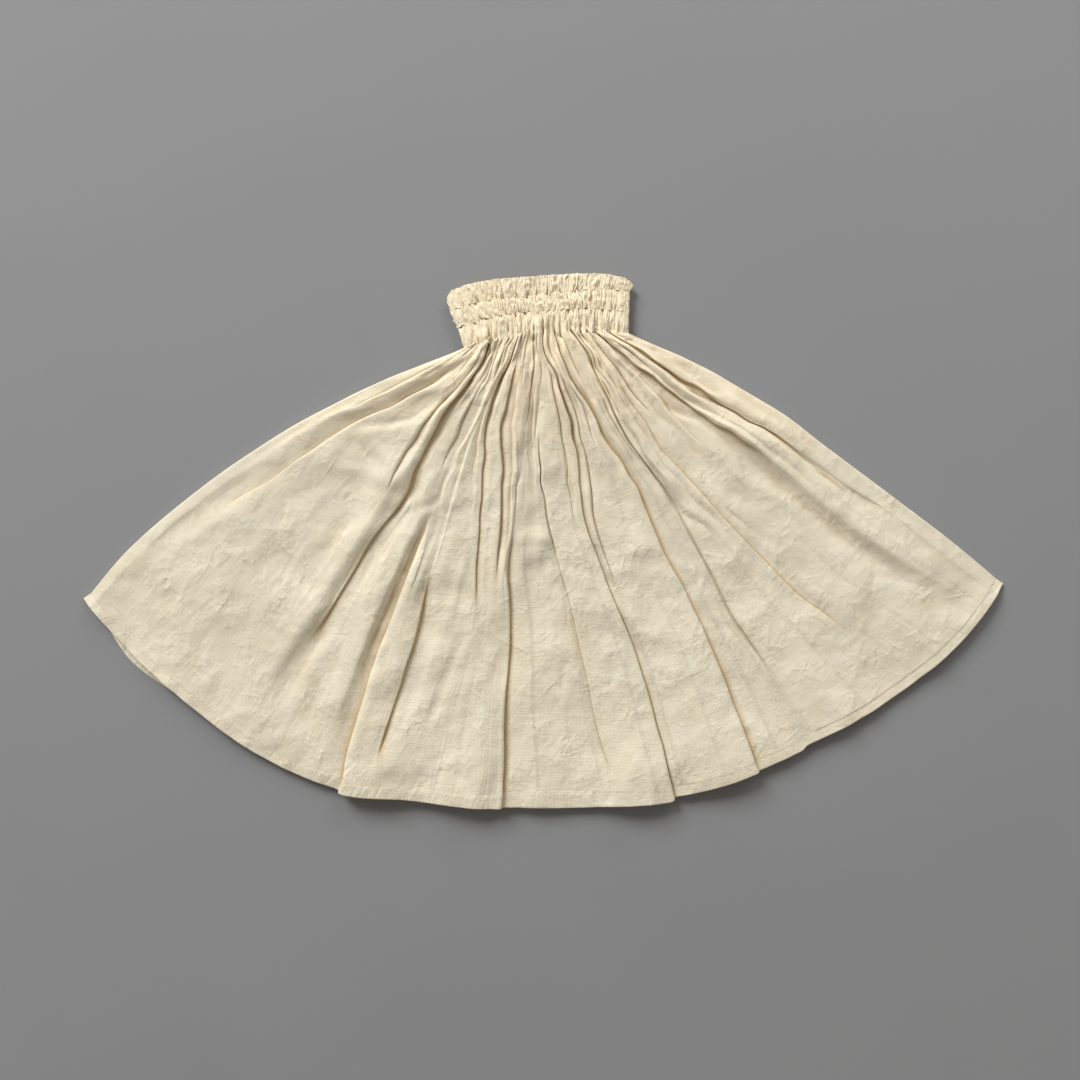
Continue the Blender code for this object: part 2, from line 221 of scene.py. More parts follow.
EDGES = (
    Edge(0.00, -45.7, 52.8, 0.9, 0.6),
    Edge(0.05, -51.9, 55.6, 2.2, 3.5),
    Edge(0.11, -55.5, 57.9, 3.2, 6.0),
    Edge(0.20, -57.5, 59.1, 3.6, 7.0),
    Edge(0.35, -58.5, 59.2, 3.6, 7.0),
    Edge(0.50, -58.3, 58.1, 3.3, 7.0),
    Edge(0.70, -57.4, 57.1, 2.8, 6.5),
    Edge(0.86, -56.3, 56.5, 2.3, 6.0),
    Edge(1.00, -54.7, 55.8, 1.9, 5.0),
)
REACHES = (
    Reach(-57.0, 849.0, 847.0, 14.0),
    Reach(-52.0, 843.0, 843.0, 15.0),
    Reach(-47.0, 841.0, 851.0, 15.0),
    Reach(-40.0, 836.5, 838.0, 15.0),
    Reach(-30.0, 838.5, 833.0, 16.0),
    Reach(-22.0, 834.5, 829.0, 18.0),
    Reach(-15.0, 815.0, 809.0, 19.0),
    Reach(-8.0, 806.0, 800.0, 20.0),
    Reach(0.0, 800.5, 795.0, 26.0),
    Reach(8.0, 804.0, 798.0, 24.0),
    Reach(16.0, 811.5, 805.0, 17.0),
    Reach(28.0, 810.0, 805.0, 16.0),
    Reach(38.0, 820.0, 815.0, 15.0),
    Reach(50.0, 831.0, 828.0, 15.0),
    Reach(57.0, 829.0, 828.0, 14.0),
)
LAP_SHARES = (0.0, 0.05, 0.1, 0.2, 0.3, 0.4, 0.5, 0.6, 0.7, 0.8, 0.9, 1.0)
FRONT_LAPS = (
    Lap("left_flap", Side.RIGHT, 0.05, 0.66, 14.0, 6.0,
        (-42.6, -42.8, -43.9, -48.7, -52.1, -52.5, -52.6, -53.6, -53.4, -52.8, -52.0, -51.5)),
    Lap("left_deep_valley", Side.LEFT, -0.2, 0.78, 22.0, 7.5,
        (-38.0, -34.2, -33.5, -34.6, -33.8, -32.2, -32.8, -32.8, -32.7, -32.7, -32.6, -32.6)),
    Lap("left_low_lap", Side.RIGHT, 0.40, 1.3, 20.0, 11.5,
        (-31.0, -29.6, -28.4, -27.2, -26.2, -25.0, -24.5, -24.3, -24.0, -23.2, -22.6, -21.6), 0.75),
    Lap("left_under_roll", Side.LEFT, 0.52, 0.97, 16.0, 7.0,
        (-26.0, -25.2, -24.6, -23.6, -22.6, -21.8, -21.0, -20.4, -19.6, -19.2, -19.1, -18.2)),
    Lap("hip_crease", Side.LEFT, -0.2, 0.62, 14.0, 6.0,
        (-22.0, -20.8, -21.2, -20.0, -16.9, -14.4, -13.0, -11.9, -11.9, -12.1, -12.4, -12.6)),
    Lap("gap_left_lip", Side.LEFT, 0.02, 0.56, 12.0, 7.0,
        (-17.6, -16.9, -16.6, -15.6, -11.9, -10.0, -9.0, -8.6, -8.0, -7.6, -7.2, -7.0)),
    Lap("gap_right_lip", Side.RIGHT, 0.02, 0.52, 11.0, 6.0,
        (-15.0, -13.6, -12.2, -11.0, -8.8, -7.9, -7.7, -7.2, -6.6, -6.2, -5.9, -5.7)),
    Lap("main_gap", Side.LEFT, 0.42, 1.3, 24.0, 8.5,
        (-12.0, -10.6, -9.4, -8.4, -6.6, -6.4, -6.7, -6.1, -5.4, -5.0, -4.7, -4.6)),
    Lap("centre_right_lap", Side.RIGHT, 0.2, 0.98, 20.0, 5.0,
        (-7.0, -4.6, -1.4, -0.9, -0.6, 1.3, 2.9, 4.5, 5.3, 6.3, 7.1, 7.6)),
    Lap("long_lap", Side.LEFT, -0.2, 1.3, 22.0, 6.0,
        (-2.9, -0.2, 5.5, 9.7, 9.8, 9.3, 10.9, 12.2, 13.3, 13.8, 13.9, 13.8)),
    Lap("ridge_lap", Side.LEFT, -0.2, 1.3, 18.0, 6.0,
        (7.9, 9.2, 13.0, 18.8, 21.7, 23.0, 23.2, 23.7, 23.8, 23.7, 23.5, 23.1)),
    Lap("right_hip_lap", Side.RIGHT, -0.2, 0.86, 20.0, 6.0,
        (24.0, 27.6, 26.4, 26.5, 27.3, 29.0, 29.2, 29.1, 28.8, 29.3, 29.4, 29.6)),
    Lap("right_long_crease", Side.LEFT, 0.1, 0.86, 18.0, 4.5,
        (33.0, 33.6, 33.4, 33.2, 32.8, 34.7, 35.9, 36.7, 37.7, 39.5, 40.3, 41.0)),
    Lap("right_deep_valley", Side.RIGHT, -0.2, 0.46, 20.0, 6.5,
        (40.0, 41.8, 43.8, 47.0, 48.5, 49.3, 49.7, 49.8, 49.7, 50.0, 51.0, 51.6)),
    Lap("right_shoulder", Side.RIGHT, -0.2, 0.5, 10.0, 5.0,
        (46.6, 49.0, 50.8, 52.9, 53.8, 54.8, 54.4, 54.5, 54.9, 54.6, 54.4, 54.2)),
)
FRONT_CREASES = (
    Crease("", 0.42, 0.34, Side.RIGHT, 0.01, 0.23, 4.0),
    Crease("left_flap", 0.42, 0.46, Side.RIGHT, -0.20, 0.13, 4.5),
    Crease("left_flap", 0.76, 0.82, Side.LEFT, 0.03, 0.40, 4.5),
    Crease("left_deep_valley", 0.34, 0.30, Side.RIGHT, -0.20, 0.11, 4.5),
    Crease("left_deep_valley", 0.74, 0.76, Side.LEFT, 0.10, 0.32, 4.0),
    Crease("left_low_lap", 0.55, 0.50, Side.LEFT, -0.20, 0.14, 5.5),
    Crease("left_under_roll", 0.52, 0.66, Side.RIGHT, 0.12, 0.34, 5.0),
    Crease("hip_crease", 0.50, 0.46, Side.LEFT, -0.20, 0.11, 5.5),
    Crease("main_gap", 0.30, 0.32, Side.LEFT, -0.20, 0.22, 5.5),
    Crease("main_gap", 0.62, 0.68, Side.RIGHT, 0.10, 0.34, 6.5),
    Crease("main_gap", 0.88, 0.90, Side.LEFT, -0.20, 0.15, 5.5),
    Crease("centre_right_lap", 0.60, 0.72, Side.LEFT, 0.04, 0.43, 6.0),
    Crease("long_lap", 0.40, 0.12, Side.LEFT, -0.20, 0.56, 5.5),
    Crease("long_lap", 0.74, 0.62, Side.LEFT, 0.10, 0.27, 5.5),
    Crease("ridge_lap", 0.30, 0.42, Side.LEFT, -0.20, 0.15, 5.5),
    Crease("ridge_lap", 0.76, 0.82, Side.RIGHT, 0.12, 0.34, 5.5),
    Crease("right_hip_lap", 0.50, 0.60, Side.LEFT, -0.20, 0.17, 6.0),
    Crease("right_long_crease", 0.30, 0.14, Side.RIGHT, -0.20, 0.23, 5.0),
    Crease("right_long_crease", 0.70, 0.52, Side.LEFT, 0.05, 0.34, 4.5),
    Crease("right_deep_valley", 0.42, 0.44, Side.RIGHT, -0.20, 0.13, 4.5),
)
BACK_LAPS = (
    Lap("back_left_lap", Side.LEFT, -0.2, 0.93, 22.0, 0.0,
        (-32.0, -36.5, -40.0, -42.0, -43.0, -43.5, -43.8, -44.0, -44.0, -43.8, -43.6, -43.5)),
    Lap("back_left_middle", Side.LEFT, -0.2, 0.93, 24.0, 0.0,
        (-15.0, -15.6, -16.0, -17.8, -19.0, -19.8, -20.5, -21.0, -21.3, -21.6, -21.8, -22.0)),
    Lap("back_middle", Side.RIGHT, -0.2, 0.93, 20.0, 0.0,
        (-2.0, -1.5, -1.0, -0.2, 0.5, 1.0, 1.3, 1.5, 1.3, 0.9, 0.4, 0.0)),
    Lap("back_right_middle", Side.LEFT, -0.2, 0.93, 24.0, 0.0,
        (14.0, 15.4, 16.5, 18.8, 20.5, 21.2, 21.7, 22.0, 22.4, 22.8, 23.2, 23.5)),
    Lap("back_right_lap", Side.LEFT, -0.2, 0.93, 22.0, 0.0,
        (34.0, 37.5, 40.0, 42.6, 44.0, 44.5, 44.8, 45.0, 45.3, 45.6, 45.8, 46.0)),
)
GATHERS = (
    Gathers(8.4, 4.0, -0.02, -0.01, 0.060, 0.180, 11),
    Gathers(15.0, 6.0, 0.02, 0.110, 0.340, 0.700, 15),
    Gathers(22.0, 5.2, 0.24, 0.420, 0.700, 1.050, 13),
)
SCALLOPS = (
    Scallop(-34.0, 4.5, 4.0),
    Scallop(-18.2, 3.0, 11.0),
    Scallop(-8.2, 3.6, 12.0),
    Scallop(10.2, 3.0, 12.0),
    Scallop(20.5, 4.0, 11.0),
    Scallop(33.0, 4.0, 6.0),
    Scallop(45.0, 5.0, 4.0),
)
FRONT_STROKES = (
    # the left side: the flap's roots, its soft end and the broad cloth below it
    Stroke(Mark.CREASE, 2.4, 3.0, ((-46.7, 0.15), (-48.2, 0.17), (-49.8, 0.21))),
    Stroke(Mark.CREASE, 2.8, 3.0, ((-41.6, 0.06), (-44.8, 0.09), (-46.8, 0.13))),
    Stroke(Mark.CREASE, 2.2, 4.0, ((-54.6, 0.42), (-55.2, 0.50), (-55.8, 0.60))),
    Stroke(Mark.TROUGH, 3.4, 13.0, ((-53.6, 0.46), (-54.6, 0.58), (-55.0, 0.70), (-54.6, 0.80))),
    Stroke(Mark.RIDGE, 2.0, 11.0, ((-51.0, 0.50), (-52.2, 0.62), (-52.6, 0.76))),
    Stroke(Mark.CREASE, 1.3, 3.0, ((-49.0, 0.59), (-47.7, 0.50), (-46.4, 0.41), (-45.6, 0.34))),
    Stroke(Mark.CREASE, 0.8, 3.0, ((-52.0, 0.77), (-48.0, 0.69))),
    Stroke(Mark.RIDGE, 0.9, 5.0, ((-51.0, 0.74), (-46.8, 0.66), (-44.0, 0.60))),
    Stroke(Mark.TROUGH, 1.2, 12.0, ((-45.0, 0.52), (-44.2, 0.68), (-43.6, 0.84))),
    Stroke(Mark.RIDGE, 1.6, 12.0, ((-40.4, 0.40), (-40.0, 0.60), (-39.6, 0.84))),
    Stroke(Mark.LEFT_SWELL, 6.0, 12.0,
           ((-36.8, 0.16), (-35.8, 0.34), (-34.6, 0.54), (-34.2, 0.72), (-34.0, 0.92))),
    Stroke(Mark.TROUGH, 4.5, 12.0,
           ((-32.4, 0.16), (-32.0, 0.32), (-31.3, 0.54), (-31.7, 0.72), (-32.0, 0.95))),
    Stroke(Mark.LEFT_SWELL, 6.0, 11.0,
           ((-27.2, 0.34), (-26.7, 0.50), (-26.1, 0.66), (-25.4, 0.80), (-24.0, 0.95))),
    # between the deep valley and the gap
    Stroke(Mark.TROUGH, 2.5, 10.0, ((-28.2, 0.68), (-28.2, 0.80), (-28.2, 0.94))),
    Stroke(Mark.RIDGE, 1.8, 8.0, ((-29.4, 0.36), (-29.0, 0.52), (-28.8, 0.66))),
    Stroke(Mark.CREASE, 16.0, 4.0, ((-25.4, 0.40), (-24.9, 0.52), (-24.7, 0.64), (-24.2, 0.80))),
    Stroke(Mark.RIGHT_UP, 4.5, 13.0,
           ((-24.6, 0.18), (-23.4, 0.25), (-22.2, 0.34), (-21.1, 0.44), (-20.5, 0.53))),
    Stroke(Mark.TROUGH, 3.0, 8.0, ((-21.2, 0.38), (-20.4, 0.48), (-20.6, 0.60))),
    Stroke(Mark.CREASE, 3.0, 3.5, ((-21.9, 0.54), (-19.4, 0.56), (-17.4, 0.56))),
    Stroke(Mark.TROUGH, 2.6, 12.0, ((-18.4, 0.58), (-17.8, 0.70), (-17.6, 0.84))),
    Stroke(Mark.RIDGE, 2.2, 6.5, ((-15.0, 0.40), (-15.4, 0.54), (-16.0, 0.68), (-16.6, 0.78))),
    Stroke(Mark.CREASE, 1.8, 4.0, ((-12.1, 0.61), (-10.0, 0.605), (-7.9, 0.63))),
    Stroke(Mark.RIDGE, 1.6, 5.0, ((-11.6, 0.585), (-9.6, 0.58), (-7.9, 0.605))),
    Stroke(Mark.TROUGH, 2.6, 8.0, ((-12.0, 0.58), (-12.8, 0.66), (-13.7, 0.74), (-14.6, 0.86))),
    Stroke(Mark.CREASE, 2.0, 4.0, ((-12.4, 0.95), (-8.6, 0.92), (-5.9, 0.90))),
    Stroke(Mark.RIDGE, 1.8, 6.0, ((-12.4, 0.93), (-8.6, 0.90), (-6.0, 0.885))),
    Stroke(Mark.CREASE, 2.0, 4.0, ((-19.1, 0.965), (-14.8, 0.955), (-10.4, 0.965))),
    Stroke(Mark.RIDGE, 1.5, 7.0, ((-19.1, 0.945), (-14.8, 0.93), (-10.8, 0.94))),
    # the middle: the thin ribbon, the dark gap beside it and the sunk panel below
    Stroke(Mark.CREASE, 7.0, 3.0, ((-20.6, 0.02), (-21.4, 0.07), (-21.9, 0.15))),
    Stroke(Mark.CREASE, 7.0, 4.0, ((-2.4, 0.12), (-3.2, 0.19), (-3.8, 0.27))),
    Stroke(Mark.TROUGH, 3.5, 8.0, ((-3.4, 0.22), (-3.2, 0.29), (-3.3, 0.36))),
    Stroke(Mark.TROUGH, 3.0, 16.0, ((-3.4, 0.34), (-2.6, 0.46), (-2.0, 0.58), (-1.4, 0.72))),
    Stroke(Mark.LEFT_SWELL, 5.0, 17.0, ((-7.5, 0.440), (-4.5, 0.432), (-0.5, 0.432), (2.5, 0.445))),
    Stroke(Mark.RIDGE, 2.2, 2.6, ((-6.6, 0.442), (-4.6, 0.430), (-2.0, 0.426), (0.6, 0.432))),
    Stroke(Mark.TROUGH, 3.2, 13.0, ((-4.6, 0.505), (-1.8, 0.497), (1.4, 0.505))),
    Stroke(Mark.CREASE, 4.0, 3.2, ((7.9, 0.34), (9.0, 0.42), (10.2, 0.50))),
    Stroke(Mark.CREASE, 2.0, 3.4, ((4.0, 0.55), (3.3, 0.66))),
    Stroke(Mark.CREASE, 2.0, 3.4, ((4.8, 0.62), (2.1, 0.75), (0.7, 0.86))),
    Stroke(Mark.RIDGE, 1.8, 3.6, ((11.6, 0.52), (12.3, 0.60), (11.8, 0.68), (10.8, 0.74))),
    Stroke(Mark.CREASE, 2.2, 4.0, ((13.7, 0.80), (16.7, 0.79), (19.5, 0.775), (20.6, 0.75))),
    Stroke(Mark.RIDGE, 1.8, 4.5, ((13.9, 0.78), (16.7, 0.77), (19.2, 0.755))),
    # the right side
    Stroke(Mark.CREASE, 7.0, 3.2, ((26.0, 0.05), (27.4, 0.12), (27.4, 0.21))),
    Stroke(Mark.CREASE, 5.0, 3.2, ((31.8, 0.09), (31.2, 0.15), (30.2, 0.21))),
    Stroke(Mark.CREASE, 3.0, 3.6, ((37.2, 0.46), (38.4, 0.52), (39.8, 0.59))),
    Stroke(Mark.TROUGH, 4.0, 7.0, ((54.2, 0.42), (54.6, 0.52), (54.4, 0.62), (55.0, 0.74))),
    Stroke(Mark.RIGHT_SWELL, 6.0, 13.0,
           ((49.4, 0.24), (50.2, 0.42), (50.2, 0.58), (50.8, 0.74), (52.4, 0.92))),
    Stroke(Mark.TROUGH, 4.0, 13.0, ((47.2, 0.28), (47.8, 0.42), (48.0, 0.58), (48.6, 0.74), (50.2, 0.92))),
    Stroke(Mark.CREASE, 2.0, 3.6, ((33.2, 0.53), (30.9, 0.58), (29.9, 0.63))),
    Stroke(Mark.CREASE, 1.8, 3.6, ((31.5, 0.59), (32.0, 0.64), (33.8, 0.70))),
    Stroke(Mark.CREASE, 1.5, 4.0, ((25.6, 0.68), (28.7, 0.71))),
    Stroke(Mark.RIDGE, 1.4, 5.0, ((25.6, 0.665), (28.7, 0.695))),
    Stroke(Mark.TROUGH, 1.6, 7.0, ((34.4, 0.80), (36.7, 0.85))),
    Stroke(Mark.TROUGH, 1.8, 8.0, ((31.3, 0.90), (32.2, 0.95), (33.1, 0.99))),
    Stroke(Mark.TROUGH, 1.6, 6.0, ((49.0, 0.74), (45.8, 0.79), (42.4, 0.88), (40.6, 0.93))),
    Stroke(Mark.RIDGE, 1.4, 7.0, ((47.2, 0.72), (44.0, 0.78), (41.0, 0.86))),
    Stroke(Mark.CREASE, 1.3, 4.0, ((42.4, 0.83), (39.0, 0.85))),
    Stroke(Mark.CREASE, 1.3, 4.0, ((40.0, 0.90), (36.7, 0.94))),
    Stroke(Mark.RIDGE, 1.8, 12.0, ((19.6, 0.42), (19.4, 0.60), (19.8, 0.78), (20.2, 0.94))),
    Stroke(Mark.TROUGH, 1.6, 13.0, ((17.2, 0.44), (17.0, 0.60), (17.4, 0.76))),
    Stroke(Mark.TROUGH, 1.6, 12.0, ((44.6, 0.40), (44.2, 0.54), (44.6, 0.68))),
)


def smooth(x: Number) -> Number:
    """Return 0 below 0, 1 above 1 and an even S between them."""
    x = np.clip(x, 0.0, 1.0)
    return x * x * (3 - 2 * x)


def blend(a: Number, b: Number, w: Number) -> Number:
    """Return the value a share w of the way from a to b."""
    return a + (b - a) * w


def curve_through(places: tuple, values: tuple, at: Number) -> Array:
    """Read a soft curve through the given values, which never overshoots.

    Args:
        places: where the values stand, rising.
        values: the values there.
        at: the places to read.

    Returns:
        The curve's values at those places.
    """
    places, values = np.asarray(places, float), np.asarray(values, float)
    at = np.asarray(at, float)
    steps = np.diff(values) / np.diff(places)
    slopes = np.concatenate([steps[:1], np.zeros(len(values) - 2), steps[-1:]])
    before, after = steps[:-1], steps[1:]
    same = before * after > 0
    slopes[1:-1][same] = 2 * before[same] * after[same] / (before[same] + after[same])
    i = np.clip(np.searchsorted(places, at) - 1, 0, len(steps) - 1)
    width = places[i + 1] - places[i]
    u = (at - places[i]) / width
    return (
        values[i] * (1 + 2 * u) * (1 - u) ** 2
        + values[i + 1] * u * u * (3 - 2 * u)
        + width * slopes[i] * u * (1 - u) ** 2
        + width * slopes[i + 1] * u * u * (u - 1)
    )


def run_along(path: Array) -> Array:
    """Return how far along a path each of its points lies."""
    return np.concatenate([[0.0], np.cumsum(np.linalg.norm(np.diff(path, axis=0), axis=1))])


def lattice(u: Number, v: Number, seed: int) -> tuple[Array, ...]:
    """Look up the random values at the corners of the unit squares that places lie in.

    Args:
        u: the places' first coordinates.
        v: their second coordinates.
        seed: which random table it is.

    Returns:
        The values at the near, beside, above and far corner, and how far across the square each place is.
    """
    table = np.random.default_rng(seed).uniform(-1.0, 1.0, (TABLE_SIZE, TABLE_SIZE))
    u, v = np.broadcast_arrays(np.asarray(u, float), np.asarray(v, float))
    iu, iv = np.floor(u).astype(int), np.floor(v).astype(int)
    steps = ((0, 0), (1, 0), (0, 1), (1, 1))
    corners = [table[(iu + du) % TABLE_SIZE, (iv + dv) % TABLE_SIZE] for du, dv in steps]
    return *corners, u - iu, v - iv


def plane_noise(u: Number, v: Number, seed: int) -> Array:
    """Return repeatable smooth noise from -1 to 1 whose bumps are one unit apart."""
    near, beside, above, far, fu, fv = lattice(u, v, seed)
    return blend(blend(near, beside, smooth(fu)), blend(above, far, smooth(fu)), smooth(fv))


def facet_noise(u: Number, v: Number, seed: int) -> Array:
    """Make noise of flat facets with crisp edges, two to a unit square.

    Args:
        u: the places' first coordinates.
        v: their second coordinates.
        seed: which noise it is.

    Returns:
        The noise, from -1 to 1 and the same each time.
    """
    near, beside, above, far, fu, fv = lattice(u, v, seed)
    lower = near + (beside - near) * fu + (above - near) * fv
    upper = far + (above - far) * (1 - fu) + (beside - far) * (1 - fv)
    return np.where(fu + fv < 1, lower, upper)


def uneven_cells(across: Array, spacing: float, least: float, most: float,
                 dice: np.random.Generator) -> tuple[Array, Array, int]:
    """Divide the width between two sides into cells of uneven widths.

    Args:
        across: places across, in mm.
        spacing: how wide the cells are on average.
        least: the narrowest cell, as a share of the spacing.
        most: the widest one.
        dice: where the widths come from.

    Returns:
        Each place's cell, how far across the cell it is, from 0 to 1, and the number of cells.
    """
    count = int(2 * WAVE_REACH / spacing)
    valleys = -WAVE_REACH + np.cumsum(spacing * dice.uniform(least, most, count))
    i = np.clip(np.searchsorted(valleys, across) - 1, 0, count - 2)
    return i, np.clip((across - valleys[i]) / (valleys[i + 1] - valleys[i]), 0, 1), count


def pleat_wave(across: Array, spacing: float, seed: int) -> Array:
    """Make a row of uneven folds with flat sides and crisp edges.

    Args:
        across: places across them, in mm.
        spacing: how wide they are on average.
        seed: which row it is.

    Returns:
        Their height, from -0.5 to 0.5.
    """
    dice = np.random.default_rng(seed)
    i, w, count = uneven_cells(across, spacing, 0.4, 1.6, dice)
    tall, peak = dice.uniform(0.4, 1.0, count), dice.uniform(0.15, 0.85, count)
    return tall[i] * np.minimum(w / peak[i], (1 - w) / (1 - peak[i])) ** 0.8 - 0.5


def gather_wave(across: Array, spacing: float, seed: int) -> Array:
    """Make a row of uneven rounded gathers with sharp valleys.

    Args:
        across: places across them, in mm.
        spacing: how wide they are on average.
        seed: which row it is.

    Returns:
        Their height, from about -0.5 to 0.6.
    """
    dice = np.random.default_rng(seed)
    i, w, count = uneven_cells(across, spacing, 0.45, 1.55, dice)
    return dice.uniform(0.55, 1.15, count)[i] * (4 * w * (1 - w)) ** 0.42 - 0.55


def pucker_wave(x: Array, level: Number, seed: int) -> Array:
    """Return the fine puckers that the elastic leaves in the cloth.

    Args:
        x: places across the waist, in mm.
        level: how many casings down from the top edge the places are.
        seed: which row of puckers it is.

    Returns:
        Their height, from about -0.8 to 0.9.
    """
    flow = 2.4 * plane_noise(x / 6, level * 3.1, Seed.PUCKER_FLOW)
    flow = flow + plane_noise(x / 2.6, level * 6.5, Seed.PUCKER_FINE_FLOW)
    fine = 0.9 * gather_wave(x + flow, 3.6, seed) + 0.6 * gather_wave(x + 0.7 * flow, 6.3, seed + 10)
    return fine * (0.75 + 0.5 * plane_noise(x / 5, level * 5, Seed.PUCKER_PATCHES))


@dataclass(frozen=True)
class Fan:
    """The skirt's plan: a fan of cloth between the join under the waist and the hem.

    Attributes: the fan's centre, the join's distance from it (join), its slope and its bow, which is 0 at
    join_bow_angle, and the notches, which are steps in the hem at the laps.
    """

    centre: tuple[float, float] = (2.2, 401.3)
    join: float = 105.0
    join_tilt: float = 0.097
    join_bow: float = 12.0
    join_bow_angle: float = 50.0
    notches: tuple[tuple[float, float], ...] = (
        (-21.6, -4.5), (-4.6, 1.5), (13.8, 7.0), (23.1, 2.0), (28.6, 4.5),
    )
    notch_width: float = 0.3
    notch_reach: float = 4.0

    def edge(self, column: str, share: float) -> float:
        """Return one column of the side folds' table at a share of the length."""
        return float(curve_through([e.share for e in EDGES], [getattr(e, column) for e in EDGES], share))

    def hem(self, angle: Array, column: str = "front") -> Array:
        """Read a column of the hem's table.

        Args:
            angle: the angles to read it at.
            column: "front" or "back" for its reach, "depth" for its depth.

        Returns:
            The column's values, in mm, with the front's notches.
        """
        reach = curve_through([r.angle for r in REACHES], [getattr(r, column) for r in REACHES], angle)
        for place, step in self.notches if column == "front" else ():
            away = np.asarray(angle) - place
            fade = np.exp(-np.abs(away) / self.notch_reach)
            reach = reach - 0.5 * step * np.tanh(away / self.notch_width) * fade
        return reach

    def join_radius(self, angle: Array) -> Array:
        """Return how far the join lies from the fan's centre at an angle."""
        a = np.radians(angle)
        bow = self.join_bow * (1 - (angle / self.join_bow_angle) ** 2)
        return self.join / (np.cos(a) + self.join_tilt * np.sin(a)) - bow

    def radius(self, angle: Array, share: Number, column: str = "front") -> Array:
        """Return the distance from the fan's centre at an angle and a share of the length."""
        near = self.join_radius(angle)
        return near + share * (self.hem(angle, column) - near)

    def plan(self, angle: Array, radius: Array) -> tuple[Array, Array]:
        """Return x and y, in mm, at an angle and a radius."""
        a = np.radians(angle)
        return self.centre[0] + radius * np.sin(a), self.centre[1] - radius * np.cos(a)

    def angle_of(self, x: Array, y: Array) -> Array:
        """Return the angle, in radians, at which places in mm lie."""
        return np.arctan2(x - self.centre[0], self.centre[1] - y)

    def path(self, points: tuple, steps: int = 5) -> Array:
        """Draw a smooth curve through the points of a stroke.

        Args:
            points: its (angle, share) points.
            steps: how many parts there are between two of them.

        Returns:
            The curve's points in mm.
        """
        angle, share = np.array(points, float).T
        stations = np.arange(len(points))
        fine = np.linspace(0, len(points) - 1, steps * (len(points) - 1) + 1)
        angle, share = curve_through(stations, angle, fine), curve_through(stations, share, fine)
        return np.stack(self.plan(angle, self.radius(angle, share)), axis=1)


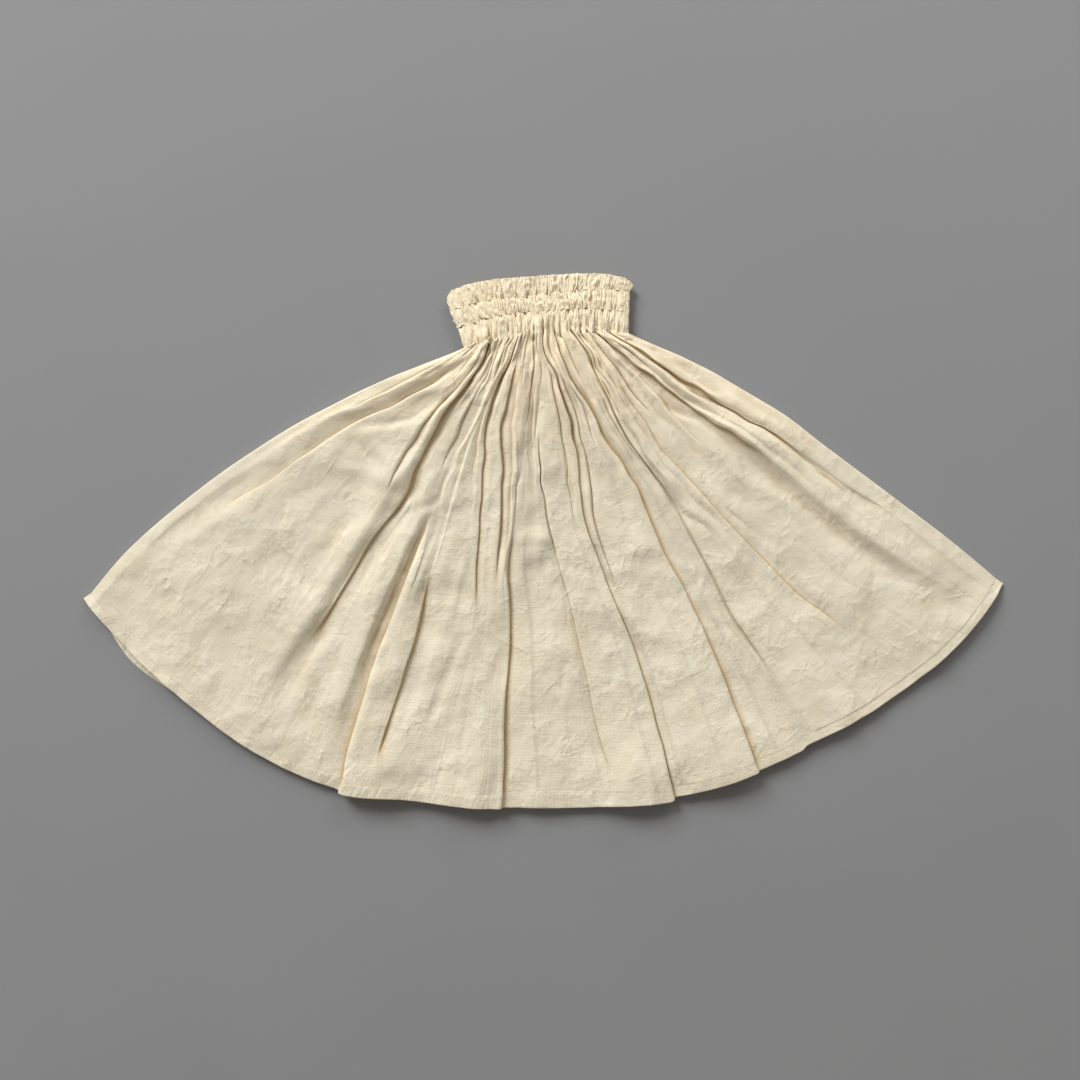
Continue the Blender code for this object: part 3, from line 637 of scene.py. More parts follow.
@dataclass(frozen=True)
class Relief:
    """What stands on the cloth beyond its laps: gathers, strokes and crumpling.

    Attributes: crumple lists the facets' size, height and seed. Knots are the small lumps under the
    waist, puckers and pits what its stitching leaves. They and the hem's wrinkles have a width across
    the cloth in mm, a number of turns down its whole length, and the share from which they fade out or
    in, with how far that takes. A stray is how far folds wander sideways, with its width and turns, its
    seed, the share at which it is full, the share where it ends and over how long it fades.
    """

    fan: Fan
    strokes: tuple[Stroke, ...]
    gathers: tuple[Gathers, ...]
    scallops: tuple[Scallop, ...] = ()
    scallop_reach: float = 0.24
    crumple: tuple[tuple[float, float, int], ...] = ((66.0, 3.8, 21), (33.0, 2.2, 22), (17.0, 0.9, 23))
    crumple_radius: float = 460.0
    crumple_stretch: float = 1.5
    slow_swell: float = 2.2
    quick_swell: float = 0.8
    wander: float = 0.5
    wander_turns: float = 14.0
    waist_end: float = 0.05
    puckers: float = 2.0
    pucker_levels: float = 29.0
    knots: float = 3.0
    knot_width: float = 6.5
    knot_turns: float = 42.0
    knots_fade: tuple[float, float] = (0.02, 0.12)
    pits: float = 9.0
    pit_width: float = 3.0
    pit_turns: float = 60.0
    pit_least: float = 0.2
    pits_fade: tuple[float, float] = (0.012, 0.035)
    hem_radius: float = 820.0
    hem_wrinkle: float = 21.0
    hem_wrinkle_turns: float = 22.0
    hem_wrinkle_slant: float = 6.0
    hem_wrinkle_height: float = 1.5
    hem_wrinkles_rise: tuple[float, float] = (0.88, 0.08)
    crumple_start: float = 0.25
    crumple_rise: float = 0.12
    edge_step: float = 1.4
    stroke_reach: float = 4.5
    taper: float = 0.25
    strays: tuple[tuple[float, float, float, Seed, float, float, float], ...] = (
        (2.4, 13, 12, Seed.NEAR_STRAY, 0.06, 0.55, 0.25),
        (3.2, 30, 6, Seed.FAR_STRAY, 0.2, 0.99, 0.12),
        (1.9, 8, 30, Seed.FINE_STRAY, 0.02, 0.5, 0.2),
    )

    def stroke_height(self, stroke: Stroke, x: Array, y: Array) -> Array:
        """Work out what one stroke adds to the cloth's height.

        Args:
            stroke: the crease, trough, ridge or edge.
            x: places across, in mm.
            y: places up, in mm.

        Returns:
            The height to add at each place, in mm.
        """
        line = self.fan.path(stroke.path)
        far = self.stroke_reach * stroke.width
        near = (x > line[:, 0].min() - far) & (x < line[:, 0].max() + far)
        near &= (y > line[:, 1].min() - far) & (y < line[:, 1].max() + far)
        added = np.zeros_like(x)
        if not near.any():
            return added
        px, py = x[near], y[near]
        starts = run_along(line)
        best = np.full(px.shape, np.inf)
        signed, along = np.zeros_like(px), np.zeros_like(px)
        for k, length in enumerate(np.diff(starts)):
            dx, dy = (line[k + 1] - line[k]) / length
            ax, ay = px - line[k, 0], py - line[k, 1]
            t = np.clip(ax * dx + ay * dy, 0, length)
            distance = np.hypot(ax - t * dx, ay - t * dy)
            closer = distance < best
            best[closer] = distance[closer]
            signed[closer] = (np.sign(dx * ay - dy * ax) * distance)[closer]
            along[closer] = (starts[k] + t)[closer] / starts[-1]
        fade = smooth(along / self.taper) * smooth((1 - along) / self.taper)
        added[near] = stroke.depth * fade * self.profile(stroke, signed)
        return added

    def profile(self, stroke: Stroke, signed: Array) -> Array:
        """Work out a stroke's section across its line.

        Args:
            stroke: the stroke.
            signed: distances from its line in mm, positive on the right of one that runs down the skirt.

        Returns:
            Its height, from -1 to 1.
        """
        reach = np.abs(signed) / stroke.width
        if stroke.mark is Mark.CREASE:
            return -np.exp(-reach)
        if stroke.mark is Mark.TROUGH:
            return -np.exp(-reach ** 2)
        if stroke.mark is Mark.RIDGE:
            return np.exp(-reach ** 2)
        if stroke.mark is Mark.RIGHT_UP:
            return 0.5 * np.tanh(signed / self.edge_step) * np.exp(-reach)
        slow = signed < 0 if stroke.mark is Mark.LEFT_SWELL else signed > 0
        return np.exp(-(reach / np.where(slow, self.slow_swell, self.quick_swell)) ** 2)

    def gather_height(self, across: Array, share: Array) -> Array:
        """Work out the gathers, with the puckers, knots and pits that they start from at the waist.

        Args:
            across: places across the join, in mm.
            share: shares of the length.

        Returns:
            Their height in mm.
        """
        total = np.zeros(np.broadcast(across, share).shape)
        for g in self.gathers:
            strength = smooth((share - g.opens) / (g.full - g.opens))
            strength = strength * smooth((g.gone - share) / (g.gone - g.fades))
            wander = plane_noise(across / (3 * g.spacing), share * self.wander_turns, g.seed + Seed.WANDER)
            wander *= self.wander * g.spacing * smooth(share / self.waist_end)
            total += g.depth * strength * pleat_wave(across + wander, g.spacing, g.seed)
        level = len(CASINGS) + self.pucker_levels * share
        puckers = self.puckers * pucker_wave(across, level, Seed.SKIRT_PUCKERS)
        total += puckers * (1 - smooth(share / self.waist_end))
        flow = 0.5 * plane_noise(across / 9, share * 40, Seed.KNOT_FLOW)
        knots = facet_noise(across / self.knot_width + flow, share * self.knot_turns, Seed.KNOTS)
        total += self.knots * knots * (1 - smooth((share - self.knots_fade[0]) / self.knots_fade[1]))
        pits = plane_noise(across / self.pit_width, share * self.pit_turns, Seed.PITS)
        pits = np.maximum(0, pits - self.pit_least)
        return total - self.pits * pits * (1 - smooth((share - self.pits_fade[0]) / self.pits_fade[1]))

    def sideways(self, across: Array, share: Array) -> Array:
        """Work out how the folds stray from straight lines as they run down.

        Args:
            across: places across the join, in mm.
            share: shares of the length.

        Returns:
            How far sideways they stray, in mm.
        """
        total = 0.0
        for stray, width, turns, seed, start, end, fade in self.strays:
            noise = plane_noise(across / width, share * turns, seed)
            total = total + stray * (noise * smooth(share / start) * smooth((end - share) / fade))
        return total

    def crumple_height(self, x: Array, y: Array) -> Array:
        """Work out the fine crumpling, whose facets are longer down the fan than across it.

        Args:
            x: places across, in mm.
            y: places up, in mm.

        Returns:
            Its height in mm.
        """
        radius = np.hypot(x - self.fan.centre[0], y - self.fan.centre[1])
        angle = self.fan.angle_of(x, y)
        total = np.zeros_like(x)
        for size, height, seed in self.crumple:
            u, v = angle * self.crumple_radius / size, radius / (self.crumple_stretch * size)
            bend, shear = (plane_noise(0.8 * u, 0.8 * v, seed + more) for more in (7, 9))
            u, v = u + 0.5 * bend, v + 0.5 * shear
            c, s = math.cos(1.1 * seed), math.sin(1.1 * seed)
            facets = facet_noise(u * c - v * s, u * s + v * c, seed)
            total += height * (0.7 * facets + 0.3 * plane_noise(u + 9, v + 5, seed + 3))
        return total

    def hem_crumple(self, x: Array, y: Array, share: Array) -> Array:
        """Work out the short slanting puckers that the hem's stitching draws into the cloth above it.

        Args:
            x: places across, in mm.
            y: places up, in mm.
            share: their shares of the length.

        Returns:
            Their height in mm.
        """
        along = self.fan.angle_of(x, y) * self.hem_radius / self.hem_wrinkle
        slanting = along + self.hem_wrinkle_slant * share
        wrinkle = facet_noise(slanting, self.hem_wrinkle_turns * share, Seed.HEM_WRINKLES)
        start, rise = self.hem_wrinkles_rise
        return self.hem_wrinkle_height * wrinkle * smooth((share - start) / rise)

    def scallop_height(self, x: Array, y: Array, share: Array) -> Array:
        """Return how high the cloth stands off the floor near the hem."""
        angle = np.degrees(self.fan.angle_of(x, y))
        total = sum((s.rise * np.exp(-(((angle - s.angle) / s.width) ** 2)) for s in self.scallops), 0 * x)
        return total * smooth((share - 1 + self.scallop_reach) / self.scallop_reach) ** 1.5

    def height(self, x: Array, y: Array, across: Array, share: Array) -> Array:
        """Add up all that the relief holds.

        Args:
            x: places across, in mm.
            y: places up, in mm.
            across: where across the join, in mm, their cloth comes from.
            share: their shares of the length.

        Returns:
            The height to add at each place, in mm.
        """
        crumple = self.crumple_height(x, y) * smooth(self.crumple_start + share / self.crumple_rise)
        total = (self.gather_height(across, share) + crumple).reshape(x.shape)
        total += (self.scallop_height(x, y, share) + self.hem_crumple(x, y, share)).reshape(x.shape)
        for stroke in self.strokes:
            total += self.stroke_height(stroke, x, y)
        return total


@dataclass
class Section:
    """One cross-section of cloth: each point's angle, height, least height and painted shade, darker deeper in
    a fold.
    """

    angles: list[float]
    heights: list[float]
    orders: list[float]
    shades: list[float]

    def add(self, angle: float, height: float, order: float = 0.0, shade: float = 0.0) -> None:
        """Add one point at the right-hand end.

        Args:
            angle: its angle.
            height: its height.
            order: the least height that it may sink to.
            shade: the shade painted at it, from 0 to 1, more the deeper in a fold it is.
        """
        self.angles.append(angle)
        self.heights.append(height)
        self.orders.append(order)
        self.shades.append(shade)


@dataclass(frozen=True)
class Levels:
    """How a panel's cloth lies at one share of the length, in mm.

    Attributes: the share of its height that cloth has near the stitching (puff), the height of cloth
    that no fold lifts (plain), how far it bulges between folds, how far apart a lap's cloths lie (ply),
    the room that each side fold takes, and the side fold's section (ends) as offsets and heights.
    """

    share: float
    puff: float
    plain: float
    bulge: float
    ply: float
    side_room: float
    ends: list[tuple[float, float]]


@dataclass(frozen=True)
class Layout:
    """How the cloth lies, in mm: the heights and sizes that its cross-sections are worked out from.

    Attributes: the wall and the distance between a lap's cloths (ply, and hem_ply at the hem), the
    heights that the front and its folds lie at near the band and further down, how the folds' cloth is
    drawn together (crease_shape, tuck_share, open_width), how much shade is painted in and beside their
    crevices (the shades), and over what lengths one height gives way to another (the reaches, ease and
    hold). A crease_shape row is a point's place in plain cloth, its place in the fold, how far down it
    lies and how far it is lifted.
    """

    fan: Fan
    wall: float = 0.8
    ply: float = 1.9
    hem_ply: float = 3.1
    hem_spread: float = 0.12
    floor_level: float = 0.6
    front_rest: float = 5.3
    plain_rise: float = 3.4
    gathered_rise: float = 6.5
    gathers_reach: float = 0.3
    tube_reach: float = 0.26
    band_middle: float = 10.6
    band_rise: float = 8.2
    join_sink: float = 5.6
    ring_power: float = 3.0
    puff_reach: float = 0.04
    stitched_rise: float = 0.85
    crown_at_band: float = 2.2
    crown_at_hem: float = 1.8
    crown_reach: float = 0.5
    fold_fade: float = 0.10
    crease_fade: float = 0.9
    crowded_lift: float = 1.15
    hem_lift: float = 0.68
    lift_unevenness: float = 0.4
    lift_reach: float = 0.8
    stray: float = 2.6
    stray_from: float = 0.2
    stray_to: float = 0.03
    first_cloth: float = 1.7
    top_cloth: float = 3.4
    lap_turns: tuple[float, ...] = (78.0, 45.0, 12.0, -25.0, -65.0)
    side_turns: tuple[float, ...] = (262.0, 235.0, 205.0, 178.0, 150.0, 125.0, 105.0)
    crease_shape: tuple[tuple[float, float, float, float], ...] = (
        (-9.0, -6.0, 0.0, 1.3), (-6.0, -2.2, 0.0, 1.9), (-3.0, 0.5, 0.15, 1.3), (0.0, -0.7, 0.85, 0.0),
        (3.0, 0.9, 1.0, 0.0), (6.0, 2.6, 0.55, 0.0), (9.0, 6.4, 0.25, 0.0),
    )
    crease_half: float = 6.0
    crease_room: float = 0.42
    crease_depth: float = 1.25
    crease_unevenness: float = 0.6
    crease_least: float = 0.35
    pull_at_join: float = 1.3
    pull: float = 7.0
    pull_reach: float = 0.45
    edge_pull: float = 4.0
    edge_share: float = 0.35
    tuck_share: float = 0.55
    open_width: float = 36.0
    open_share: float = 0.4
    shade_beside: float = 0.6
    crease_shade: float = 0.8
    ease: float = 55.0
    hold: float = 18.0
    back_ply: float = 1.6
    side_gap: float = 0.6

    def ring(self, across: Array) -> Array:
        """Return the rounded outline of the flattened waist: 0 at its two ends, 1 over its middle."""
        return (1 - np.abs(2 * np.clip(across, 0, 1) - 1) ** self.ring_power) ** (1 / self.ring_power)

    def base(self, angle: float, share: float, front: bool) -> float:
        """Work out how high the lowest cloth of the front or the back lies.

        Args:
            angle: the angle.
            share: the share of the length.
            front: whether it is the front.

        Returns:
            The height.
        """
        left, right = self.fan.edge("left", share), self.fan.edge("right", share)
        ring = self.ring((angle - left) / (right - left))
        at_join = self.band_middle + ring * ((self.band_rise - self.join_sink) if front else -self.band_rise)
        rest = self.front_rest if front else self.floor_level
        return rest + (at_join - rest) * (1 - smooth(share / self.tube_reach))

    def seam_level(self, share: float) -> float:
        """Return the height at which the front meets the back along the side folds."""
        return self.floor_level + (self.band_middle - self.floor_level) * (1 - smooth(share / self.tube_reach))

    def formed(self, fold: Lap | Crease, share: float) -> float:
        """Return how fully a lap or a crease is formed, from 0 to 1."""
        fade = self.fold_fade if isinstance(fold, Lap) else self.crease_fade * self.fold_fade
        return float(smooth((share - fold.starts) / self.fold_fade) * smooth((fold.ends - share) / fade))

    def lift_at(self, lap: Lap, share: float) -> float:
        """Return how high a lap's upper edge stands: higher near the waist, where the cloth is crowded."""
        uneven = 1.0 + self.lift_unevenness * float(plane_noise(share * 11, lap.angles[0], Seed.LAP_LIFT))
        down = float(smooth(share / self.lift_reach))
        return lap.lift * uneven * blend(self.crowded_lift, self.hem_lift, down)

    def angle_at(self, lap: Lap, share: float) -> float:
        """Work out where a lap runs, which strays a little from its smooth course.

        Args:
            lap: the lap.
            share: the share of the length.

        Returns:
            The angle.
        """
        slow = float(plane_noise(share * 8, lap.angles[0], Seed.LAP_STRAY))
        quick = float(plane_noise(share * 23, lap.angles[0], Seed.LAP_FINE_STRAY))
        free = float(smooth(share / self.stray_from)) * float(smooth((1 - share) / self.stray_to))
        stray = self.stray * free * (0.7 * slow + 0.3 * quick) / self.fan.radius(0.0, share)
        return float(curve_through(LAP_SHARES, lap.angles, share)) + math.degrees(stray)

    def ply_at(self, share: float) -> float:
        """Return how far apart the cloths of a lap lie."""
        return blend(self.ply, self.hem_ply, float(smooth((share - 1 + self.hem_spread) / self.hem_spread)))

    def lap_points(self, lap: Lap, lift: float, strength: float, room: list, plain: float, ply: float) -> list:
        """Work out a lap's points from left to right.

        Args:
            lap: the lap.
            lift: how high its upper edge stands.
            strength: how fully it is formed.
            room: the width it may take on its left and on its right.
            plain: the height of cloth that no fold lifts.
            ply: how far apart its cloths lie.

        Returns:
            For each point its offset from the lap's edge, its height, its least height and its shade.
        """
        above = room[0] if lap.side is Side.LEFT else room[1]
        tuck = min(lap.tuck, self.tuck_share * above) * smooth(strength)
        high = max(lift, 2 * ply) * strength
        middle = min(ply, 0.5 * high)
        half = 0.5 * (high - middle)
        nose = min(half + 0.3, 0.3 * above)
        # from the upper cloth over the rounded edge, back underneath, and out again over the lower cloth
        folded = [(-2.4 * nose, high, self.top_cloth, 0.0), (-1.7 * nose, high, self.top_cloth, 0.0)]
        for turn in self.lap_turns:
            up = 1 + math.sin(math.radians(turn))
            order = self.first_cloth * (1 + up / 2)
            nose_out = nose * (math.cos(math.radians(turn)) - 1)
            folded.append((nose_out, middle + half * up, order, 0.5 - turn / 90))
        folded += [
            (-tuck, middle, self.first_cloth, 1.0), (-tuck - 0.5 * ply * strength, 0.5 * middle, 0.8, 1.0),
            (-tuck, 0.0, 0.0, 1.0), (-0.4 * nose, 0.0, 0.0, 1.0), (1.2 * nose, 0.15, 0.0, self.shade_beside),
        ]
        spread = self.open_share * min(min(room), self.open_width)
        # the last value of each point is painted shade: dark under the rounded edge and beside it, less where
        # the crevice faces the light
        tint = 1.0 if lap.side is Side.LEFT else lap.lit_shade
        last = len(folded) - 1
        points = []
        for i, (offset, height, order, shade) in enumerate(folded):
            flat = spread * (2 * i / last - 1)
            eased = height + (high * (1 - i / last) - height) * (1 - strength)
            place, dark = flat + (offset - flat) * strength, max(0.0, shade) * tint * strength
            points.append((place, plain * (1 - strength) + eased, order * strength, dark))
        return self.faced(points, lap.side)

    def crease_points(self, crease: Crease, share: float, room: list, plain: float) -> list:
        """Work out a narrow fold's points from left to right.

        Args:
            crease: the crease.
            share: the share of the length.
            room: the width it may take on its left and on its right.
            plain: the height of cloth that no fold lifts.

        Returns:
            For each point its offset from the crease, its height, its least height and its shade.
        """
        strength = self.formed(crease, share)
        noise = float(plane_noise(share * 15, 40 * crease.at_join, Seed.CREASE_DEPTH))
        uneven = 1.0 + self.crease_unevenness * noise
        deep = min(self.crease_depth * crease.depth * strength * uneven, plain - 0.1)
        size = self.crease_least + (1 - self.crease_least) * strength
        over, under = (min(1.0, self.crease_room * r / self.crease_half) for r in room)
        if crease.side is Side.RIGHT:
            over, under = under, over
        points = []
        for even, offset, down, lift in self.crease_shape:
            offset = blend(even, offset, float(smooth(3 * strength)))
            reach = offset * (over if offset < 0 else under) * size
            # painted shade, darkest at the crease's bottom
            shade = max(0.0, 2 * down - 1) * self.crease_shade * strength
            points.append((reach, plain - deep * down + lift * strength, 0.0, shade))
        return self.faced(points, crease.side)

    def faced(self, points: list, side: Side) -> list:
        """Return a left-over-right fold's points, mirrored when its right side's cloth lies on top."""
        return points if side is Side.LEFT else [(-offset, *rest) for offset, *rest in reversed(points)]

    def strip(self, section: Section, end: tuple, width: float, plain: float, count: int) -> None:
        """Carry the cloth from a section's last point to the next fold, rising only near the folds.

        Args:
            section: the section to add to.
            end: angle, height and least height where the next fold begins.
            width: the strip's width in mm.
            plain: the height of cloth that no fold lifts.
            count: how many points to add.
        """
        angle, height, order = section.angles[-1], section.heights[-1], section.orders[-1]
        whole = math.sinh(width / self.ease)
        for w in np.arange(1, count + 1) / (count + 1):
            from_left = math.sinh((1 - w) * width / self.ease) / whole
            from_right = math.sinh(w * width / self.ease) / whole
            level = plain + (height - plain) * from_left + (end[1] - plain) * from_right
            held = order * math.exp(-w * width / self.hold) + end[2] * math.exp(-(1 - w) * width / self.hold)
            section.add(angle + (end[0] - angle) * w, level, held)


@dataclass(frozen=True)
class Panel:
    """The front or the back cloth, lofted through cross-sections from the join to the hem's stitching.

    Attributes: its rows and columns, how far it runs in under the last casing (seam_gap in mm, top_share
    as a share) and how deep it lies there (seam_dip), down to seam_share. The front stays a clearance
    above the back, whose cloth is back_top high, and the back takes a share of the relief (back_relief).
    """

    name: str
    node: str
    front: bool
    layout: Layout
    relief: Relief
    laps: tuple[Lap, ...]
    creases: tuple[Crease, ...] = ()
    rows: int = 104
    column_width: float = 8.6
    widths_at: float = 0.7
    crowding: float = 0.44
    seam_gap: float = -3.0
    top_share: float = 0.0
    seam_dip: float = 3.5
    seam_share: float = 0.005
    side_room: float = 8.0
    side_angle: float = 3.0
    side_flat: float = 6.0
    side_reach: float = 12.0
    inner_reach: float = 18.0
    dead_below: float = 0.3
    back_top: float = 4.2
    clearance: float = 0.8
    softness: float = 0.6
    back_relief: float = 0.3
    back_least: float = 0.45
    shade_reach: int = 2
    shade_depth: float = 1.5

    @property
    def fan(self) -> Fan:
        """Return the plan that the panel follows."""
        return self.layout.fan

    @property
    def column(self) -> str:
        """Return the name of the hem table's column for this panel."""
        return "front" if self.front else "back"

    def folds(self) -> list[Lap | Crease]:
        """Put the laps and creases in order.

        Returns:
            All of them from left to right.
        """
        folds = [crease for crease in self.creases if not crease.after]
        for lap in self.laps:
            folds += [lap] + [crease for crease in self.creases if crease.after == lap.name]
        return folds

    def fold_angles(self, share: float) -> list[float]:
        """Work out where the folds run.

        Args:
            share: the share of the length.

        Returns:
            The angle of each lap and crease, from left to right.
        """
        laps = {lap.name: self.layout.angle_at(lap, share) for lap in self.laps}
        names = ["", *laps]
        bounds = [self.fan.edge("left", share), *laps.values(), self.fan.edge("right", share)]
        angles = []
        for fold in self.folds():
            if isinstance(fold, Lap):
                angles.append(laps[fold.name])
                continue
            i = names.index(fold.after)
            at = blend(fold.at_join, fold.at_middle, float(smooth(share / 0.5)))
            angles.append(blend(bounds[i], bounds[i + 1], at))
        return angles

    def bounds(self, share: float) -> list[float]:
        """Return the angles of the left side fold, of each lap and crease, and of the right side fold."""
        return [self.fan.edge("left", share), *self.fold_angles(share), self.fan.edge("right", share)]

    def counts(self) -> list[int]:
        """Return how many points each strip between two folds gets, from its width low on the skirt."""
        widths = np.radians(np.diff(self.bounds(self.widths_at))) * self.fan.radius(0.0, self.widths_at)
        return [max(2, round(float(w) / self.column_width)) for w in widths]

    def levels(self, share: float) -> Levels:
        """Work out how the panel's cloth lies.

        Args:
            share: the share of the length.

        Returns:
            Its levels there.
        """
        lay = self.layout
        roll, turn_in = self.fan.edge("roll", share), self.fan.edge("turn_in", share)
        if not self.front:
            return Levels(share, 1.0, 0.0, 0.0, lay.back_ply, 0.0, [(turn_in + lay.side_gap, 0.0)])
        turns = [math.radians(turn) for turn in lay.side_turns]
        return Levels(
            share=share,
            puff=blend(lay.stitched_rise, 1.0, float(smooth(share / lay.puff_reach))),
            plain=blend(lay.gathered_rise, lay.plain_rise, float(smooth(share / lay.gathers_reach))),
            bulge=blend(lay.crown_at_band, lay.crown_at_hem, float(smooth(share / lay.crown_reach))),
            ply=lay.ply_at(share),
            side_room=self.side_room * roll,
            ends=[(turn_in, 0.0)] + [(roll * (1 + math.cos(a)), roll * (1 + math.sin(a))) for a in turns],
        )

    def fold_points(self, i: int, bounds: list[float], levels: Levels) -> list[tuple[float, ...]]:
        """Work out one fold's points.

        Args:
            i: the fold's number.
            bounds: the angles of the side folds and of all the folds between them.
            levels: how the cloth lies.

        Returns:
            For each point its angle, its height, its least height and its shade.
        """
        lay, share, folds = self.layout, levels.share, self.folds()
        fold, angle = folds[i], bounds[i + 1]
        radius = float(self.fan.radius(angle, share, self.column))
        room = [math.radians(bounds[i + n + 1] - bounds[i + n]) * radius for n in (0, 1)]
        room[0] = max(1.0, room[0] - (levels.side_room if i == 0 else 0))
        room[1] = max(1.0, room[1] - (levels.side_room if i == len(folds) - 1 else 0))
        strength = lay.formed(fold, share) * (1.0 if self.front else float(smooth(share / lay.tube_reach)))
        if isinstance(fold, Crease):
            points = lay.crease_points(fold, share, room, levels.plain)
        else:
            points = lay.lap_points(fold, lay.lift_at(fold, share), strength, room, levels.plain, levels.ply)
        if self.front:
            rise, held = self.approach(i, bounds[1:-1], levels)
            points = [(o, height + rise, order + held, shade) for o, height, order, shade in points]
        else:
            points = [(o, 2 * levels.ply * strength - height, *rest) for o, height, *rest in points]
        base = lay.base(angle, share, self.front)
        return [(angle + math.degrees(o / radius), base + h * levels.puff, *rest) for o, h, *rest in points]

    def section(self, share: float, counts: list[int]) -> Section:
        """Work out the panel's cross-section at a share of the length.

        Args:
            share: the share of the way from the join to the hem.
            counts: how many points each strip gets.

        Returns:
            The section, from the left side fold to the right one.
        """
        lay, levels, bounds = self.layout, self.levels(share), self.bounds(share)
        left, *angles, right = bounds
        seam = lay.seam_level(share)
        left_reach, right_reach = (float(self.fan.radius(end, share, self.column)) for end in (left, right))
        section = Section([], [], [], [])
        for offset, height in levels.ends:
            section.add(left + math.degrees(offset / left_reach), seam + height)
        closing = [(right - math.degrees(o / right_reach), seam + h, 0.0) for o, h in levels.ends[::-1]]
        stops = [(angle, angle, self.fold_points(i, bounds, levels)) for i, angle in enumerate(angles)]
        stops.append((right, right - self.side_angle, closing))
        for (angle, place, points), count in zip(stops, counts):
            radius = float(self.fan.radius(angle, share, self.column))
            run = math.radians(points[0][0] - section.angles[-1]) * radius
            plain = lay.base(place, share, self.front) + levels.plain * levels.puff
            lay.strip(section, points[0], max(1.0, run), plain, count)
            for point in points:
                section.add(*point)
        crown = levels.bulge * levels.puff * self.crown(np.array(section.angles), angles, share)
        section.heights = list(np.array(section.heights) + crown)
        return section

    def approach(self, i: int, angles: list[float], levels: Levels) -> tuple[float, float]:
        """Work out how much the cloth at a fold that has died out rises towards the formed laps beside it.

        Args:
            i: the fold's number.
            angles: the angles of all the folds.
            levels: how the cloth lies.

        Returns:
            The height to add, and the least height to add.
        """
        lay, folds, share = self.layout, self.folds(), levels.share
        length = self.fan.radius(0.0, share) * math.pi / 180
        rise = held = 0.0
        for step, side in ((1, Side.LEFT), (-1, Side.RIGHT)):
            j = i + step  # the nearest formed fold on that side counts if its upper cloth faces this one
            while 0 <= j < len(folds) and lay.formed(folds[j], share) < self.dead_below:
                j += step
            if 0 <= j < len(folds) and isinstance(folds[j], Lap) and folds[j].side is side:
                away, formed = abs(angles[j] - angles[i]) * length, lay.formed(folds[j], share)
                high = max(lay.lift_at(folds[j], share), 2 * levels.ply)
                rise += (high - levels.plain) * formed * math.exp(-away / lay.ease)
                held += lay.top_cloth * formed * math.exp(-away / lay.hold)
        dead = 1 - lay.formed(folds[i], share)
        return rise * dead, held * dead

    def crown(self, at: Array, angles: list[float], share: float) -> Array:
        """Return how fully the cloth bulges: 1 far from any fold, and 0 at a fold that is fully formed.

        Args:
            at: the angles of the places.
            angles: the angles of the folds.
            share: the share of the length.

        Returns:
            The bulge at each place, from 0 to 1.
        """
        lay = self.layout
        if not self.front:
            return np.zeros_like(at)
        pull = blend(lay.pull_at_join, lay.pull, float(smooth(share / lay.pull_reach)))
        length = self.fan.radius(0.0, share) * math.pi / 180
        rise = np.ones_like(at)
        for edge in (self.fan.edge("left", share), self.fan.edge("right", share)):
            away = np.maximum(np.abs(at - edge) * length - self.side_flat, 0)
            rise *= 1 - np.exp(-away / self.side_reach)
        for fold, angle in zip(self.folds(), angles):
            away = (at - angle) * length * (1 if fold.side is Side.LEFT else -1)
            reach = np.where(away > 0, away / pull, -away / lay.edge_pull)
            rise *= 1 - lay.formed(fold, share) * np.where(away > 0, 1.0, lay.edge_share) * np.exp(-reach)
        return rise

    def surface(self, shares: Array, counts: list[int]) -> tuple[Array, ...]:
        """Return the angles, heights, least heights and shades of all the sections at the given shares."""
        sections = [self.section(float(share), counts) for share in shares]
        columns = zip(*((s.angles, s.heights, s.orders, s.shades) for s in sections))
        return tuple(np.array(column) for column in columns)

    def across_join(self, angles: Array, share: float) -> Array:
        """Return how far across the join, in mm, the cloth at these angles comes from."""
        origin = np.array(self.bounds(0.0))
        return np.interp(angles, self.bounds(share), self.fan.plan(origin, self.fan.join_radius(origin))[0])

    def lifted(self, angles: Array, heights: Array, orders: Array, share: Array, relief: Array) -> Array:
        """Add the relief to rows of heights, and keep the cloth clear of what lies below.

        Args:
            angles: the rows' angles.
            heights: their heights before the relief.
            orders: their points' least heights above the lowest cloth.
            share: each row's share of the length, as a column.
            relief: what the relief adds.

        Returns:
            The rows' heights.
        """
        lay = self.layout
        if not self.front:
            room = np.clip((heights - 0.4) / 3.0, 0, 1) * smooth((lay.tube_reach - share) / 0.1)
            return np.maximum(heights + self.back_relief * relief * room, self.back_least)
        side = self.inwards(angles)
        ends = ("left", "right")
        left, right = (np.array([[self.fan.edge(end, float(t))] for t in share[:, 0]]) for end in ends)
        rise = lay.ring((angles - left) / (right - left)) * lay.band_rise
        back_top = self.back_top + (lay.band_middle - rise - 1.0) * (1 - smooth(share / lay.tube_reach))
        least = back_top + self.clearance + orders
        above = (heights + relief * side - least) / self.softness
        kept = least + self.softness * np.log1p(np.exp(np.clip(above, -30, 30)))
        return np.where(side > 0, blend(heights, kept, smooth(side * 3)), heights)

    def inwards(self, angles: Array) -> Array:
        """Return 0 along the side folds and 1 well inside them."""
        inward = np.minimum(angles - angles[:, :1], angles[:, -1:] - angles)
        return smooth(inward * math.pi / 180 * self.fan.radius(0.0, 1.0) / self.inner_reach - 0.15)

